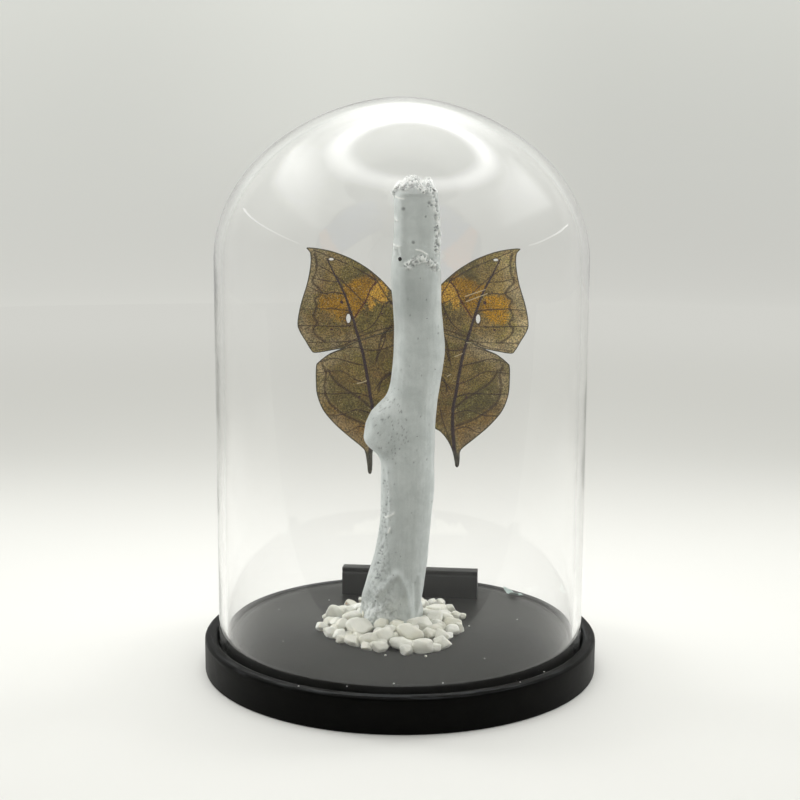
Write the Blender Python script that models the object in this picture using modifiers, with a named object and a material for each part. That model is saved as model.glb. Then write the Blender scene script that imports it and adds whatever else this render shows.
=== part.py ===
"""A spread leaf butterfly on a white-painted branch, on a round black base under a glass dome.

Metres, +Z up. The origin is the centre of the base's underside. The butterfly's upper side and the label
holder's sloping face look along +Y. The branch and the wings' undersides are seen from the -Y side.
"""

import math
import random

import bmesh
import bpy
from mathutils import Matrix, Vector

MM = 0.001
GAP = 0.3 * MM  # between pieces that touch

# The turned base
BASE_RADIUS = 76 * MM
RIM_TOP = 13.2 * MM
RIM_INNER_RADIUS = 71.2 * MM
RIM_ROUND = 1.3 * MM
FOOT_ROUND = 0.8 * MM
GROOVE_FLOOR = 8 * MM
DISC_RADIUS = 65.9 * MM
DISC_TOP = 14.4 * MM
DISC_ROUND = 1.7 * MM
BASE_STEPS = 56

# The glass dome
DOME_RADIUS = 70.5 * MM
DOME_TOP = 217.4 * MM
DOME_SHOULDER = 156 * MM
DOME_WALL = 3.2 * MM
DOME_WIDTH_POWER = 1.8  # the round top is a superellipse: a little flatter than a ball at its crown
DOME_HEIGHT_POWER = 2.05
DOME_CURVE_POINTS = 10
DOME_STEPS = 44

# The branch: height, centre x, centre y and radius of its sections, in millimetres
BRANCH_SECTIONS = (
    (14.7, -3.8, -4.4, 12.2),
    (26.6, -3.1, -4.5, 11.6),
    (33.4, -2.2, -4.7, 11.3),
    (41.3, -0.3, -5.0, 10.6),
    (49.3, 0.8, -5.3, 10.1),
    (58.0, 2.0, -5.6, 9.7),
    (71.0, 2.5, -6.0, 10.2),
    (92.0, 2.8, -6.0, 9.9),
    (105.4, 4.4, -6.0, 9.4),
    (114.0, 5.7, -6.0, 9.4),
    (124.0, 6.9, -6.0, 9.6),
    (130.0, 6.7, -6.0, 9.25),
    (141.0, 5.8, -6.0, 8.95),
    (151.5, 5.2, -6.0, 9.4),
    (157.0, 5.2, -5.9, 9.1),
    (170.0, 5.6, -5.6, 8.45),
    (183.0, 5.0, -5.5, 8.1),
    (188.4, 4.6, -5.5, 7.4),
)
BRANCH_TOP = 188.4 * MM
BRANCH_SIDES = 20
BRANCH_RING_STEP = 4.6 * MM
STUB_HEIGHT = 91.5 * MM  # the cut stub on the branch's left side
STUB_REACH = 7.2 * MM
STUB_RISE = 12.9 * MM  # it swells slowly above and ends abruptly below
STUB_RISE_POWER = 4
STUB_DROP = 6.5 * MM
STUB_DROP_POWER = 2.5
STUB_ANGLE = math.radians(190)
STUB_SPREAD = math.radians(42)
FACET_BOTTOM = 157.2 * MM  # the whittled flat below the broken top
FACET_TOP = 181 * MM
FACET_DEPTH = 1.1 * MM
FACET_ANGLE = math.radians(272)
FACET_SPREAD = math.radians(34)
ROOT_TOP = 40 * MM
ROOT_DEPTH = 0.9 * MM
ROOT_FOLDS = 5
CROWN_DEPTH = 1.6 * MM  # the broken end is hollow and uneven
CROWN_NOTCH = 0.7 * MM

# The gravel heap
HEAP_CENTRE = Vector((-2.4 * MM, -3.9 * MM, 0))
HEAP_RADIUS = 28.4 * MM
HEAP_STRETCH = 1.1  # it is longer from front to back
HEAP_HEIGHT = 7.4 * MM
HEAP_POWER = 3  # it is flat in the middle and steeper towards its edge
BED_RADIUS_SHARE = 0.96  # the bed that the stones are set in, against the heap
BED_HEIGHT_SHARE = 0.76
STONE_COUNT = 86
STONE_RADIUS = (2.2 * MM, 3.5 * MM)
STONE_CORNERS = 10
STONE_SEED = 11
GOLDEN_ANGLE = math.radians(137.508)

# The label holder: its section, back edge at y = 0, in millimetres
LABEL_SECTION = (
    (0, 0),
    (9.0, 0),
    (8.8, 1.5),
    (8.0, 1.7),
    (5.3, 10.2),
    (6.0, 10.6),
    (5.6, 11.8),
    (0, 11.8),
    (0, 10.9),
    (0.5, 10.5),
    (0.5, 9.8),
    (0, 9.3),
)
LABEL_LENGTH = 57.6 * MM
LABEL_CENTRE = Vector((3.8 * MM, 37.2 * MM, DISC_TOP + GAP))
LABEL_TURN = math.radians(-6.3)

# The butterfly. Wing outlines give the distance from its middle line and the height, in millimetres
BUTTERFLY_X = 4.6 * MM
WING_HALF_THICKNESS = 0.3 * MM
FOREWING_Y = 10.9 * MM
HINDWING_Y = 10.5 * MM
FOREWING = (
    (1.0, 135.5), (6.0, 141.8), (9.7, 146.3), (13.5, 150.1), (18.6, 154.0), (25.0, 157.6), (33.0, 160.4),
    (41.2, 161.4), (40.1, 159.2), (40.0, 154.8), (41.3, 147.8), (43.9, 139.4), (45.2, 132.6), (44.6, 129.3),
    (42.0, 124.9), (40.1, 121.8), (38.3, 120.6), (31.5, 121.7), (20.0, 124.0), (9.0, 126.5), (1.0, 128.0),
)
HINDWING = (
    (1.0, 131.5), (9.0, 129.6), (16.0, 127.4), (22.8, 125.0), (28.8, 122.1), (33.0, 120.2), (37.2, 116.9),
    (38.0, 115.2), (38.1, 109.5), (37.6, 104.0), (35.2, 98.0), (30.4, 92.3), (25.2, 87.7), (20.3, 83.7),
    (18.5, 81.4), (17.9, 77.5), (16.9, 75.0), (15.9, 76.0), (15.4, 81.9), (13.8, 86.2), (11.1, 89.6),
    (8.6, 91.4), (4.5, 97.0), (2.0, 106.0), (1.0, 118.0),
)
LEFT_TAIL_EXTRA = 3.2  # the left tail is whole and the right one worn, in millimetres
TAIL_FROM = 82.0
CORNER_POINTS = 2  # points added to each stretch of an outline, to round it

# Its body: centre and half sizes, in millimetres
BODY_Y = 8.4
BODY_LUMPS = (
    ((0, BODY_Y - 0.6, 130.0), (3.0, 4.4, 6.6)),
    ((0, BODY_Y + 0.4, 121.5), (2.4, 2.7, 5.2)),
    ((0, BODY_Y + 0.6, 113.0), (2.2, 2.4, 8.0)),
    ((0, BODY_Y, 138.0), (1.9, 1.9, 2.4)),
    ((1.5, BODY_Y, 138.4), (0.95, 1.1, 1.2)),
    ((-1.5, BODY_Y, 138.4), (0.95, 1.1, 1.2)),
    ((0, BODY_Y - 0.3, 140.9), (0.8, 0.9, 2.3)),
)
LUMP_SIDES = 12
SMALL_LUMP_SIDES = 8
SMALL_LUMP = 2.3  # half length of the largest lump with the fewer sides
FEELER = ((0.9, 8.6, 139.2), (2.2, 9.5, 144.0), (3.9, 10.1, 149.5), (5.7, 10.4, 155.5), (6.4, 10.4, 158.2))
FEELER_RADIUS = 0.22 * MM
FEELER_CLUB = 2.0
LEGS = (
    ((1.2, 6.2, 132.5), (4.2, 4.9, 134.2), (6.0, 4.1, 136.8)),
    ((1.2, 6.2, 127.0), (4.4, 5.0, 124.4), (6.2, 4.2, 121.6)),
)
LEG_RADIUS = 0.3 * MM


def clear_scene():
    for obj in list(bpy.data.objects):
        bpy.data.objects.remove(obj, do_unlink=True)


def new_collection(name, is_hidden=False):
    collection = bpy.data.collections.new(name)
    bpy.context.scene.collection.children.link(collection)
    collection.hide_render = is_hidden
    return collection


def new_material(name, colour, roughness, metallic=0.0, transmission=0.0):
    material = bpy.data.materials.new(name)
    material.use_nodes = True
    shader = material.node_tree.nodes["Principled BSDF"]
    shader.inputs["Base Color"].default_value = (*colour, 1.0)
    shader.inputs["Roughness"].default_value = roughness
    shader.inputs["Metallic"].default_value = metallic
    shader.inputs["Transmission Weight"].default_value = transmission
    return material


def mesh_object(name, bm, collection, material=None):
    mesh = bpy.data.meshes.new(name)
    bm.to_mesh(mesh)
    bm.free()
    obj = bpy.data.objects.new(name, mesh)
    collection.objects.link(obj)
    if material is not None:
        mesh.materials.append(material)
    return obj


def shade_round(obj, angle_deg=35):
    obj.data.shade_smooth()
    obj.data.set_sharp_from_angle(angle=math.radians(angle_deg))


def hide_cutter(obj):
    obj.hide_render = True
    obj.display_type = "WIRE"


def turned(name, profile, steps, collection, material):
    """A profile of (radius, height) points, listed down the outer side, turned about Z."""
    bm = bmesh.new()
    verts = [bm.verts.new((radius, 0, height)) for radius, height in profile]
    for first, second in zip(verts, verts[1:]):
        bm.edges.new((first, second))
    obj = mesh_object(name, bm, collection, material)
    screw = obj.modifiers.new("Turn", "SCREW")
    screw.axis = "Z"
    screw.steps = steps
    screw.render_steps = steps
    screw.use_merge_vertices = True
    screw.merge_threshold = 0.00001
    screw.use_smooth_shade = True
    return obj


def arc(centre, radius, start_deg, end_deg, count):
    """Points of a quarter round in a profile, ends included."""
    points = []
    for i in range(count):
        angle = math.radians(start_deg + (end_deg - start_deg) * i / (count - 1))
        points.append((centre[0] + radius * math.cos(angle), centre[1] + radius * math.sin(angle)))
    return points


def make_base(parts, material):
    profile = [(0, DISC_TOP)]
    profile += arc((DISC_RADIUS - DISC_ROUND, DISC_TOP - DISC_ROUND), DISC_ROUND, 90, 0, 3)
    profile += [(DISC_RADIUS, GROOVE_FLOOR), (RIM_INNER_RADIUS, GROOVE_FLOOR)]
    profile += arc((RIM_INNER_RADIUS + RIM_ROUND, RIM_TOP - RIM_ROUND), RIM_ROUND, 180, 90, 3)
    profile += arc((BASE_RADIUS - RIM_ROUND, RIM_TOP - RIM_ROUND), RIM_ROUND, 90, 0, 3)
    profile += [(BASE_RADIUS, FOOT_ROUND), (BASE_RADIUS - FOOT_ROUND, 0), (0, 0)]
    return turned("base", profile, BASE_STEPS, parts, material)


def dome_profile():
    points = []
    height = DOME_TOP - DOME_SHOULDER
    for i in range(DOME_CURVE_POINTS + 1):
        angle = math.pi / 2 * i / DOME_CURVE_POINTS
        radius = DOME_RADIUS * math.sin(angle) ** (2 / DOME_WIDTH_POWER)
        points.append((radius, DOME_SHOULDER + height * max(math.cos(angle), 0) ** (2 / DOME_HEIGHT_POWER)))
    points[-1] = (DOME_RADIUS, DOME_SHOULDER)
    return points + [(DOME_RADIUS, GROOVE_FLOOR + GAP)]


def make_dome(parts, material):
    dome = turned("glass_dome", dome_profile(), DOME_STEPS, parts, material)
    wall = dome.modifiers.new("Wall", "SOLIDIFY")
    wall.thickness = DOME_WALL
    wall.offset = -1
    wall.use_even_offset = True
    return dome


def smooth_step(low, high, value):
    share = min(max((value - low) / (high - low), 0), 1)
    return share * share * (3 - 2 * share)


def between_sections(height):
    """Centre x, centre y and radius of the branch at a height, in even steps from section to section."""
    rows = [tuple(value * MM for value in row) for row in BRANCH_SECTIONS]
    for low, high in zip(rows, rows[1:]):
        if height <= high[0]:
            break
    share = min(max((height - low[0]) / (high[0] - low[0]), 0), 1)
    return [low[i] + (high[i] - low[i]) * share for i in (1, 2, 3)]


def angle_between(first, second):
    return abs((first - second + math.pi) % (2 * math.pi) - math.pi)


def branch_radius(height, angle):
    """The branch's radius with its stub, whittled flat and root folds."""
    radius = between_sections(height)[2]
    lean = height - STUB_HEIGHT
    if lean > 0:
        stub = math.exp(-((lean / STUB_RISE) ** STUB_RISE_POWER))
    else:
        stub = math.exp(-((-lean / STUB_DROP) ** STUB_DROP_POWER))
    radius += STUB_REACH * stub * math.exp(-((angle_between(angle, STUB_ANGLE) / STUB_SPREAD) ** 2))
    facet = smooth_step(FACET_BOTTOM, FACET_BOTTOM + 1 * MM, height)
    facet *= 1 - smooth_step(FACET_TOP, FACET_TOP + 1 * MM, height)
    radius -= FACET_DEPTH * facet * math.exp(-((angle_between(angle, FACET_ANGLE) / FACET_SPREAD) ** 4))
    root = 1 - smooth_step(DISC_TOP, ROOT_TOP, height)
    return radius + ROOT_DEPTH * root * math.cos(ROOT_FOLDS * angle + 6 * root)


def branch_heights():
    """Ring heights: even, with closer rings at the whittled flat's two ledges."""
    bottom = DISC_TOP + GAP
    count = round((BRANCH_TOP - bottom) / BRANCH_RING_STEP)
    heights = [bottom + (BRANCH_TOP - bottom) * i / count for i in range(count + 1)]
    for ledge in (FACET_BOTTOM, FACET_TOP):
        heights = [height for height in heights if abs(height - ledge) > 2 * MM]
        heights += [ledge, ledge + 1 * MM]
    return sorted(heights)


def branch_mesh(extra=0.0, below=0.0):
    """The branch as a loft of rings. extra makes it thicker and below makes it longer, for a cutter."""
    bm = bmesh.new()
    rings = []
    heights = branch_heights()
    if below:
        heights.insert(0, heights[0] - below)
    for height in heights:
        x, y, _ = between_sections(height)
        ring = []
        for i in range(BRANCH_SIDES):
            angle = 2 * math.pi * i / BRANCH_SIDES
            reach = branch_radius(height, angle) + extra
            notch = CROWN_NOTCH * math.sin(3 * angle) if height == BRANCH_TOP else 0
            outward = Vector((reach * math.cos(angle), reach * math.sin(angle), notch))
            ring.append(bm.verts.new(Vector((x, y, height)) + outward))
        rings.append(ring)
    for lower, upper in zip(rings, rings[1:]):
        for i in range(BRANCH_SIDES):
            j = (i + 1) % BRANCH_SIDES
            bm.faces.new((lower[i], lower[j], upper[j], upper[i]))
    bm.faces.new(list(reversed(rings[0])))
    top = rings[-1]
    middle = sum((vert.co for vert in top), Vector()) / BRANCH_SIDES
    hollow = bm.verts.new(middle - Vector((0, 0, CROWN_DEPTH)))
    for i in range(BRANCH_SIDES):
        bm.faces.new((top[i], top[(i + 1) % BRANCH_SIDES], hollow))
    return bm


def make_branch(parts, material):
    branch = mesh_object("branch", branch_mesh(), parts, material)
    shade_round(branch)
    return branch


def heap_height(distance):
    """Height of the heap's upper side above the base at a distance from its middle."""
    return HEAP_HEIGHT * (1 - min(distance / HEAP_RADIUS, 1) ** HEAP_POWER)


def stone_places():
    """Centre, half sizes and turn of each stone, set out on a spiral, but none inside the branch's foot."""
    rng = random.Random(STONE_SEED)
    places = []
    for i in range(STONE_COUNT):
        distance = HEAP_RADIUS * math.sqrt((i + 0.5) / STONE_COUNT) * rng.uniform(0.93, 1.0)
        angle = i * GOLDEN_ANGLE + rng.uniform(-0.2, 0.2)
        size = rng.uniform(*STONE_RADIUS)
        half = size * Vector((rng.uniform(0.95, 1.3), rng.uniform(0.8, 1.05), rng.uniform(0.65, 0.9)))
        rise = max(heap_height(distance) - half.z * 0.5, half.z * 0.72)
        out = Vector((math.cos(angle), math.sin(angle) * HEAP_STRETCH, 0))
        centre = HEAP_CENTRE + distance * out + Vector((0, 0, DISC_TOP + rise))
        turn = Matrix.Rotation(rng.uniform(0, math.pi), 4, "Z")
        turn @= Matrix.Rotation(rng.uniform(-0.4, 0.4), 4, "X")
        branch_x, branch_y, branch_reach = between_sections(centre.z)
        if math.hypot(centre.x - branch_x, centre.y - branch_y) > branch_reach + ROOT_DEPTH:
            places.append((centre, half, turn))
    return places


def stone_mesh(bm, centre, half, turn, rng):
    """One crushed stone: the hull of a few points on a lumpy ball."""
    corners = []
    for i in range(STONE_CORNERS):
        height = 1 - 2 * (i + 0.5) / STONE_CORNERS
        ring = math.sqrt(1 - height * height)
        angle = i * GOLDEN_ANGLE
        point = Vector((ring * math.cos(angle), ring * math.sin(angle), height)) * rng.uniform(0.85, 1.12)
        point = turn @ Vector((point.x * half.x, point.y * half.y, point.z * half.z))
        corners.append(bm.verts.new(centre + point))
    bmesh.ops.convex_hull(bm, input=corners)


def make_gravel(parts, cutters, material):
    """The stones and the bed that they are set in, joined, cut level below and cut round the branch."""
    bm = bmesh.new()
    bed = Matrix.Translation(HEAP_CENTRE + Vector((0, 0, DISC_TOP)))
    reach = HEAP_RADIUS * BED_RADIUS_SHARE
    bed @= Matrix.Diagonal((reach, reach * HEAP_STRETCH, HEAP_HEIGHT * BED_HEIGHT_SHARE, 1))
    bmesh.ops.create_uvsphere(bm, u_segments=20, v_segments=8, radius=1, matrix=bed)
    gravel = mesh_object("gravel", bm, parts, material)

    stones = new_collection("gravel_stones", is_hidden=True)
    rng = random.Random(STONE_SEED + 1)
    for index, (centre, half, turn) in enumerate(stone_places()):
        bm = bmesh.new()
        stone_mesh(bm, centre, half, turn, rng)
        hide_cutter(mesh_object(f"stone_{index:03d}", bm, stones))
    union = gravel.modifiers.new("Stones", "BOOLEAN")
    union.operation = "UNION"
    union.operand_type = "COLLECTION"
    union.collection = stones
    union.use_self = True

    side = 4 * HEAP_RADIUS
    bm = bmesh.new()
    level = Matrix.Translation(HEAP_CENTRE + Vector((0, 0, DISC_TOP + GAP - side / 2)))
    bmesh.ops.create_cube(bm, size=side, matrix=level)
    floor = mesh_object("gravel_level_cutter", bm, cutters)
    foot = mesh_object("gravel_branch_cutter", branch_mesh(extra=GAP, below=5 * MM), cutters)
    for cutter in (floor, foot):
        hide_cutter(cutter)
        cut = gravel.modifiers.new(cutter.name, "BOOLEAN")
        cut.operation = "DIFFERENCE"
        cut.object = cutter
    return gravel


def flat_curve(name, outline, half_thickness, collection):
    """A closed outline of (x, y) points in metres, filled and given its thickness."""
    curve = bpy.data.curves.new(name, "CURVE")
    curve.dimensions = "2D"
    curve.fill_mode = "BOTH"
    curve.extrude = half_thickness
    spline = curve.splines.new("POLY")
    spline.points.add(len(outline) - 1)
    for point, (x, y) in zip(spline.points, outline):
        point.co = (x, y, 0, 1)
    spline.use_cyclic_u = True
    obj = bpy.data.objects.new(name, curve)
    collection.objects.link(obj)
    return obj


def tube(name, points, radius, collection, end_scale=1.0):
    """A round rod along points in metres."""
    curve = bpy.data.curves.new(name, "CURVE")
    curve.dimensions = "3D"
    curve.bevel_depth = radius
    curve.bevel_resolution = 1
    curve.use_fill_caps = True
    spline = curve.splines.new("POLY")
    spline.points.add(len(points) - 1)
    for index, point in enumerate(points):
        spline.points[index].co = (*point, 1)
    spline.points[-1].radius = end_scale
    obj = bpy.data.objects.new(name, curve)
    collection.objects.link(obj)
    return obj


def as_mesh(obj, collection):
    """The curve object replaced by its welded mesh."""
    bpy.context.view_layer.update()
    evaluated = obj.evaluated_get(bpy.context.evaluated_depsgraph_get())
    mesh = bpy.data.meshes.new_from_object(evaluated)
    bm = bmesh.new()
    bm.from_mesh(mesh)
    bmesh.ops.remove_doubles(bm, verts=bm.verts, dist=0.00001)
    bmesh.ops.recalc_face_normals(bm, faces=bm.faces)
    bm.to_mesh(mesh)
    bm.free()
    made = bpy.data.objects.new(obj.name + "_mesh", mesh)
    made.matrix_world = obj.matrix_world
    collection.objects.link(made)
    bpy.data.objects.remove(obj, do_unlink=True)
    return made


def make_label_holder(parts, material):
    outline = [(y * MM, z * MM) for y, z in LABEL_SECTION]
    curve = flat_curve("label_section", outline, LABEL_LENGTH / 2, parts)
    upright = Matrix(((0, 0, 1, 0), (1, 0, 0, 0), (0, 1, 0, 0), (0, 0, 0, 1)))
    curve.matrix_world = Matrix.Translation(LABEL_CENTRE) @ Matrix.Rotation(LABEL_TURN, 4, "Z") @ upright
    holder = as_mesh(curve, parts)
    holder.name = "label_holder"
    holder.data.materials.append(material)
    return holder


def rounded(outline):
    """A closed outline with points added on a Catmull-Rom curve through its own."""
    count = len(outline)
    points = []
    for i in range(count):
        before, start, end, after = (Vector(outline[(i + k) % count]) for k in (-1, 0, 1, 2))
        for step in range(CORNER_POINTS):
            t = step / CORNER_POINTS
            points.append(
                0.5
                * (
                    2 * start
                    + (end - before) * t
                    + (2 * before - 5 * start + 4 * end - after) * t * t
                    + (3 * start - before - 3 * end + after) * t * t * t
                )
            )
    return points


def wing_outline(outline, side):
    """The outline in metres on one side, with the left tail drawn out to its full length."""
    drawn = []
    for x, z in outline:
        drop = LEFT_TAIL_EXTRA * min((TAIL_FROM - z) / 6, 1) if side < 0 and z < TAIL_FROM else 0
        drawn.append((x, z - drop))
    return [(BUTTERFLY_X + side * x * MM, z * MM) for x, z in rounded(drawn)]


def make_wing(name, outline, side, y, collection):
    wing = flat_curve(name, wing_outline(outline, side), WING_HALF_THICKNESS, collection)
    wing.matrix_world = Matrix.Translation((0, y, 0)) @ Matrix.Rotation(math.pi / 2, 4, "X")
    return as_mesh(wing, collection)


def body_points(points, side):
    return [(BUTTERFLY_X + side * x * MM, y * MM, z * MM) for x, y, z in points]


def add_lump(bm, centre, half):
    place = Matrix.Translation(body_points((centre,), 1)[0])
    size = Matrix.Diagonal((*(value * MM for value in half), 1))
    sides = LUMP_SIDES if half[2] > SMALL_LUMP else SMALL_LUMP_SIDES
    bmesh.ops.create_uvsphere(bm, u_segments=sides, v_segments=sides * 2 // 3, radius=1, matrix=place @ size)


def make_butterfly(parts, material):
    """The thorax, with the rest of the body, the wings, feelers and legs joined to it."""
    bm = bmesh.new()
    add_lump(bm, *BODY_LUMPS[0])
    butterfly = mesh_object("butterfly", bm, parts, material)

    limbs = new_collection("butterfly_limbs", is_hidden=True)
    joined = []
    for index, (centre, half) in enumerate(BODY_LUMPS[1:]):
        bm = bmesh.new()
        add_lump(bm, centre, half)
        joined.append(mesh_object(f"body_lump_{index}", bm, limbs))
    for side, word in ((-1, "left"), (1, "right")):
        joined.append(make_wing(f"forewing_{word}", FOREWING, side, FOREWING_Y, limbs))
        joined.append(make_wing(f"hindwing_{word}", HINDWING, side, HINDWING_Y, limbs))
        feeler = tube(f"feeler_{word}", body_points(FEELER, side), FEELER_RADIUS, limbs, FEELER_CLUB)
        joined.append(as_mesh(feeler, limbs))
        for index, leg in enumerate(LEGS):
            leg_tube = tube(f"leg_{word}_{index}", body_points(leg, side), LEG_RADIUS, limbs)
            joined.append(as_mesh(leg_tube, limbs))
    for limb in joined:
        hide_cutter(limb)
        union = butterfly.modifiers.new(limb.name, "BOOLEAN")
        union.operation = "UNION"
        union.object = limb
    return butterfly


def main():
    clear_scene()
    parts = new_collection("butterfly_in_glass_dome")
    cutters = new_collection("cutters", is_hidden=True)
    black_wood = new_material("black_stained_wood", (0.012, 0.012, 0.013), 0.45)
    clear_glass = new_material("clear_glass", (1.0, 1.0, 1.0), 0.02, transmission=1.0)
    white_paint = new_material("white_painted_wood", (0.72, 0.75, 0.76), 0.5)
    white_stone = new_material("white_stone", (0.86, 0.85, 0.81), 0.6)
    black_plastic = new_material("black_plastic", (0.02, 0.02, 0.021), 0.4)
    leaf_wing = new_material("leaf_brown_wing", (0.2, 0.14, 0.06), 0.7)
    make_base(parts, black_wood)
    make_dome(parts, clear_glass)
    make_branch(parts, white_paint)
    make_gravel(parts, cutters, white_stone)
    make_label_holder(parts, black_plastic)
    make_butterfly(parts, leaf_wing)


main()
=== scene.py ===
"""Looks of a leaf butterfly on a white-painted branch under a glass dome, dressed on its packed frame.

Metres, +Z up. The butterfly's upper side faces +Y. The photographed side, with the branch's back and the
wings' undersides, faces -Y. The file is laid out as an add-on: settings, an operator for each piece, a panel.
"""

import random
from math import cos, hypot, pi, radians, sin, sqrt

import bmesh
import bpy
import numpy as np
from bpy.props import FloatProperty, FloatVectorProperty, IntProperty, PointerProperty
from mathutils import Matrix, Vector, noise
from mathutils.geometry import delaunay_2d_cdt


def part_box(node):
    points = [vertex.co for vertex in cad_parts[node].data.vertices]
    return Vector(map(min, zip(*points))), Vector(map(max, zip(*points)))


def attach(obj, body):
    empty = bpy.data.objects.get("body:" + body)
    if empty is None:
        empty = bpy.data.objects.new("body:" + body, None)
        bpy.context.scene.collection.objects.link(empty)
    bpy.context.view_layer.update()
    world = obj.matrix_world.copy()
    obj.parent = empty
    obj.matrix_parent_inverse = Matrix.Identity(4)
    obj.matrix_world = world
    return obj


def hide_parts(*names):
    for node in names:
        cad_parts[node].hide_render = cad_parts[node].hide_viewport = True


bl_info = {
    "name": "Butterfly in a glass dome",
    "version": (1, 0, 0),
    "blender": (4, 5, 0),
    "location": "3D View > Sidebar > Dome",
    "description": "Builds the looks of a mounted leaf butterfly, its branch, gravel, base and glass dome",
    "category": "Object",
}

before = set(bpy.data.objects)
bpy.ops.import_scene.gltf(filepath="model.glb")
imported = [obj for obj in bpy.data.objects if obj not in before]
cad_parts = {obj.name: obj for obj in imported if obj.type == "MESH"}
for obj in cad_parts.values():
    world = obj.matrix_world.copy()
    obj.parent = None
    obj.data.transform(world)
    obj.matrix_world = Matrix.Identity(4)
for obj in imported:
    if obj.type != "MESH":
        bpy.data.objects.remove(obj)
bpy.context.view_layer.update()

MM = 0.001
BODY = "root"
SIDES = ((-1, "left"), (1, "right"))

# The base, from the packed solid's own box
BASE_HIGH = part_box("base")[1]
BASE_RADIUS = BASE_HIGH.x
DISC_TOP = BASE_HIGH.z
RIM_TOP = 13.2 * MM
RIM_INNER_RADIUS = 71.2 * MM
DISC_RADIUS = 65.9 * MM
GROOVE_FLOOR = 8 * MM

# The dome
DOME_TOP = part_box("glass_dome")[1].z
DOME_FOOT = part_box("glass_dome")[0].z
DOME_RADIUS = 70.5 * MM
DOME_SHOULDER = 156 * MM
DOME_WIDTH_POWER = 1.8
DOME_HEIGHT_POWER = 2.05

# The branch: height, centre x, centre y and radius of its sections, in millimetres
BRANCH_SECTIONS = np.array((
    (14.7, -3.8, -4.4, 12.2), (26.6, -3.1, -4.5, 11.6), (33.4, -2.2, -4.7, 11.3), (41.3, -0.3, -5, 10.6),
    (49.3, 0.8, -5.3, 10.1), (58, 2, -5.6, 9.7), (71, 2.5, -6, 10.2), (92, 2.8, -6, 9.9),
    (105.4, 4.4, -6, 9.4), (114, 5.7, -6, 9.4), (124, 6.9, -6, 9.6), (130, 6.7, -6, 9.25),
    (141, 5.8, -6, 8.95), (151.5, 5.2, -6, 9.4), (157, 5.2, -5.9, 9.1), (170, 5.6, -5.6, 8.45),
    (183, 5, -5.5, 8.1), (188.4, 4.6, -5.5, 7.4),
))
BRANCH_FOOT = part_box("branch")[0].z / MM
BRANCH_TOP = 188.4
STUB_HEIGHT = 91.5
STUB_ANGLE = radians(190)
FACET_ANGLE = radians(272)

# The gravel heap, in millimetres
HEAP_CENTRE = (-2.4, -3.9)
HEAP_RADIUS = 28.4
HEAP_STRETCH = 1.1
HEAP_HEIGHT = 7.4
HEAP_POWER = 3
GOLDEN_ANGLE = radians(137.508)

# The butterfly. Outlines give the distance from its middle line and the height, in millimetres
BUTTERFLY_X = 4.6
FOREWING_Y = 10.9
HINDWING_Y = 10.5
FOREWING = (
    (1, 135.5), (6, 141.8), (9.7, 146.3), (13.5, 150.1), (18.6, 154), (25, 157.6), (33, 160.4),
    (41.2, 161.4), (40.1, 159.2), (40, 154.8), (41.3, 147.8), (43.9, 139.4), (45.2, 132.6), (44.6, 129.3),
    (42, 124.9), (40.1, 121.8), (38.3, 120.6), (31.5, 121.7), (20, 124), (9, 126.5), (1, 128),
)
HINDWING = (
    (1, 131.5), (9, 129.6), (16, 127.4), (22.8, 125), (28.8, 122.1), (33, 120.2), (37.2, 116.9),
    (38, 115.2), (38.1, 109.5), (37.6, 104), (35.2, 98), (30.4, 92.3), (25.2, 87.7), (20.3, 83.7),
    (18.8, 81.8), (18.3, 78.6), (18, 76.4), (17.3, 75.5), (16.5, 76.2), (16.2, 78.2), (15.6, 82.3),
    (13.8, 86.2), (11.1, 89.6), (8.6, 91.4), (4.5, 97), (2, 106), (1, 118),
)
LEFT_TAIL_EXTRA = 2.8
TAIL_FROM = 82.0


# ---- small helpers


def srgb(red, green, blue):
    """A colour given in 0 to 255 display values, as linear values."""
    linear = []
    for value in (red, green, blue):
        share = value / 255
        linear.append(share / 12.92 if share <= 0.04045 else ((share + 0.055) / 1.055) ** 2.4)
    return tuple(linear)


def smooth_step(low, high, value):
    share = np.clip((value - low) / (high - low), 0, 1)
    return share * share * (3 - 2 * share)


def turns_round(count):
    """Evenly spaced angles round a circle."""
    return np.linspace(0, 2 * pi, count, endpoint=False)


def fractal(points, scale, octaves=3, shift=0.0):
    """Soft noise, about -1 to 1, at each point; scale is the size of its waves, in the points' own unit."""
    offset = Vector((shift, 1.7 * shift, -shift))
    return np.array([noise.fractal(Vector(p) / scale + offset, 0.9, 2.0, octaves) for p in points])


def cell_distance(points, scale, shift=0.0):
    """Distance to the nearest random cell centre, 0 at the centre and about 1 between cells."""
    offset = Vector((shift, -shift, 0.6 * shift))
    return np.array([noise.voronoi(Vector(p) / scale + offset)[0][0] for p in points])


def line_distance(points, line):
    """Each 2D point's distance to a polyline, and how far along the polyline its nearest place is, 0 to 1."""
    line = np.array(line, float)
    lengths = np.linalg.norm(line[1:] - line[:-1], axis=1)
    total = lengths.sum()
    best = np.full(len(points), 1e9)
    along = np.zeros(len(points))
    walked = 0.0
    for start, end, length in zip(line, line[1:], lengths):
        share = np.clip((points - start) @ (end - start) / max(length * length, 1e-12), 0, 1)
        gap = np.linalg.norm(points - start - share[:, None] * (end - start), axis=1)
        nearer = gap < best
        best[nearer] = gap[nearer]
        along[nearer] = ((walked + share * length) / total)[nearer]
        walked += length
    return best, along


def near_line(points, line, width, power=2):
    """1 on a polyline, and falling off to 0 beside it."""
    return np.exp(-((line_distance(points, line)[0] / width) ** power))


def inside_outline(points, outline):
    """True for each 2D point inside a closed outline."""
    outline = np.array(outline, float)
    inside = np.zeros(len(points), bool)
    x, y = points[:, 0], points[:, 1]
    for (x0, y0), (x1, y1) in zip(outline, np.roll(outline, -1, axis=0)):
        crosses = (y0 > y) != (y1 > y)
        if y1 != y0:
            inside ^= crosses & (x < (x1 - x0) * (y - y0) / (y1 - y0) + x0)
    return inside


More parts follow.
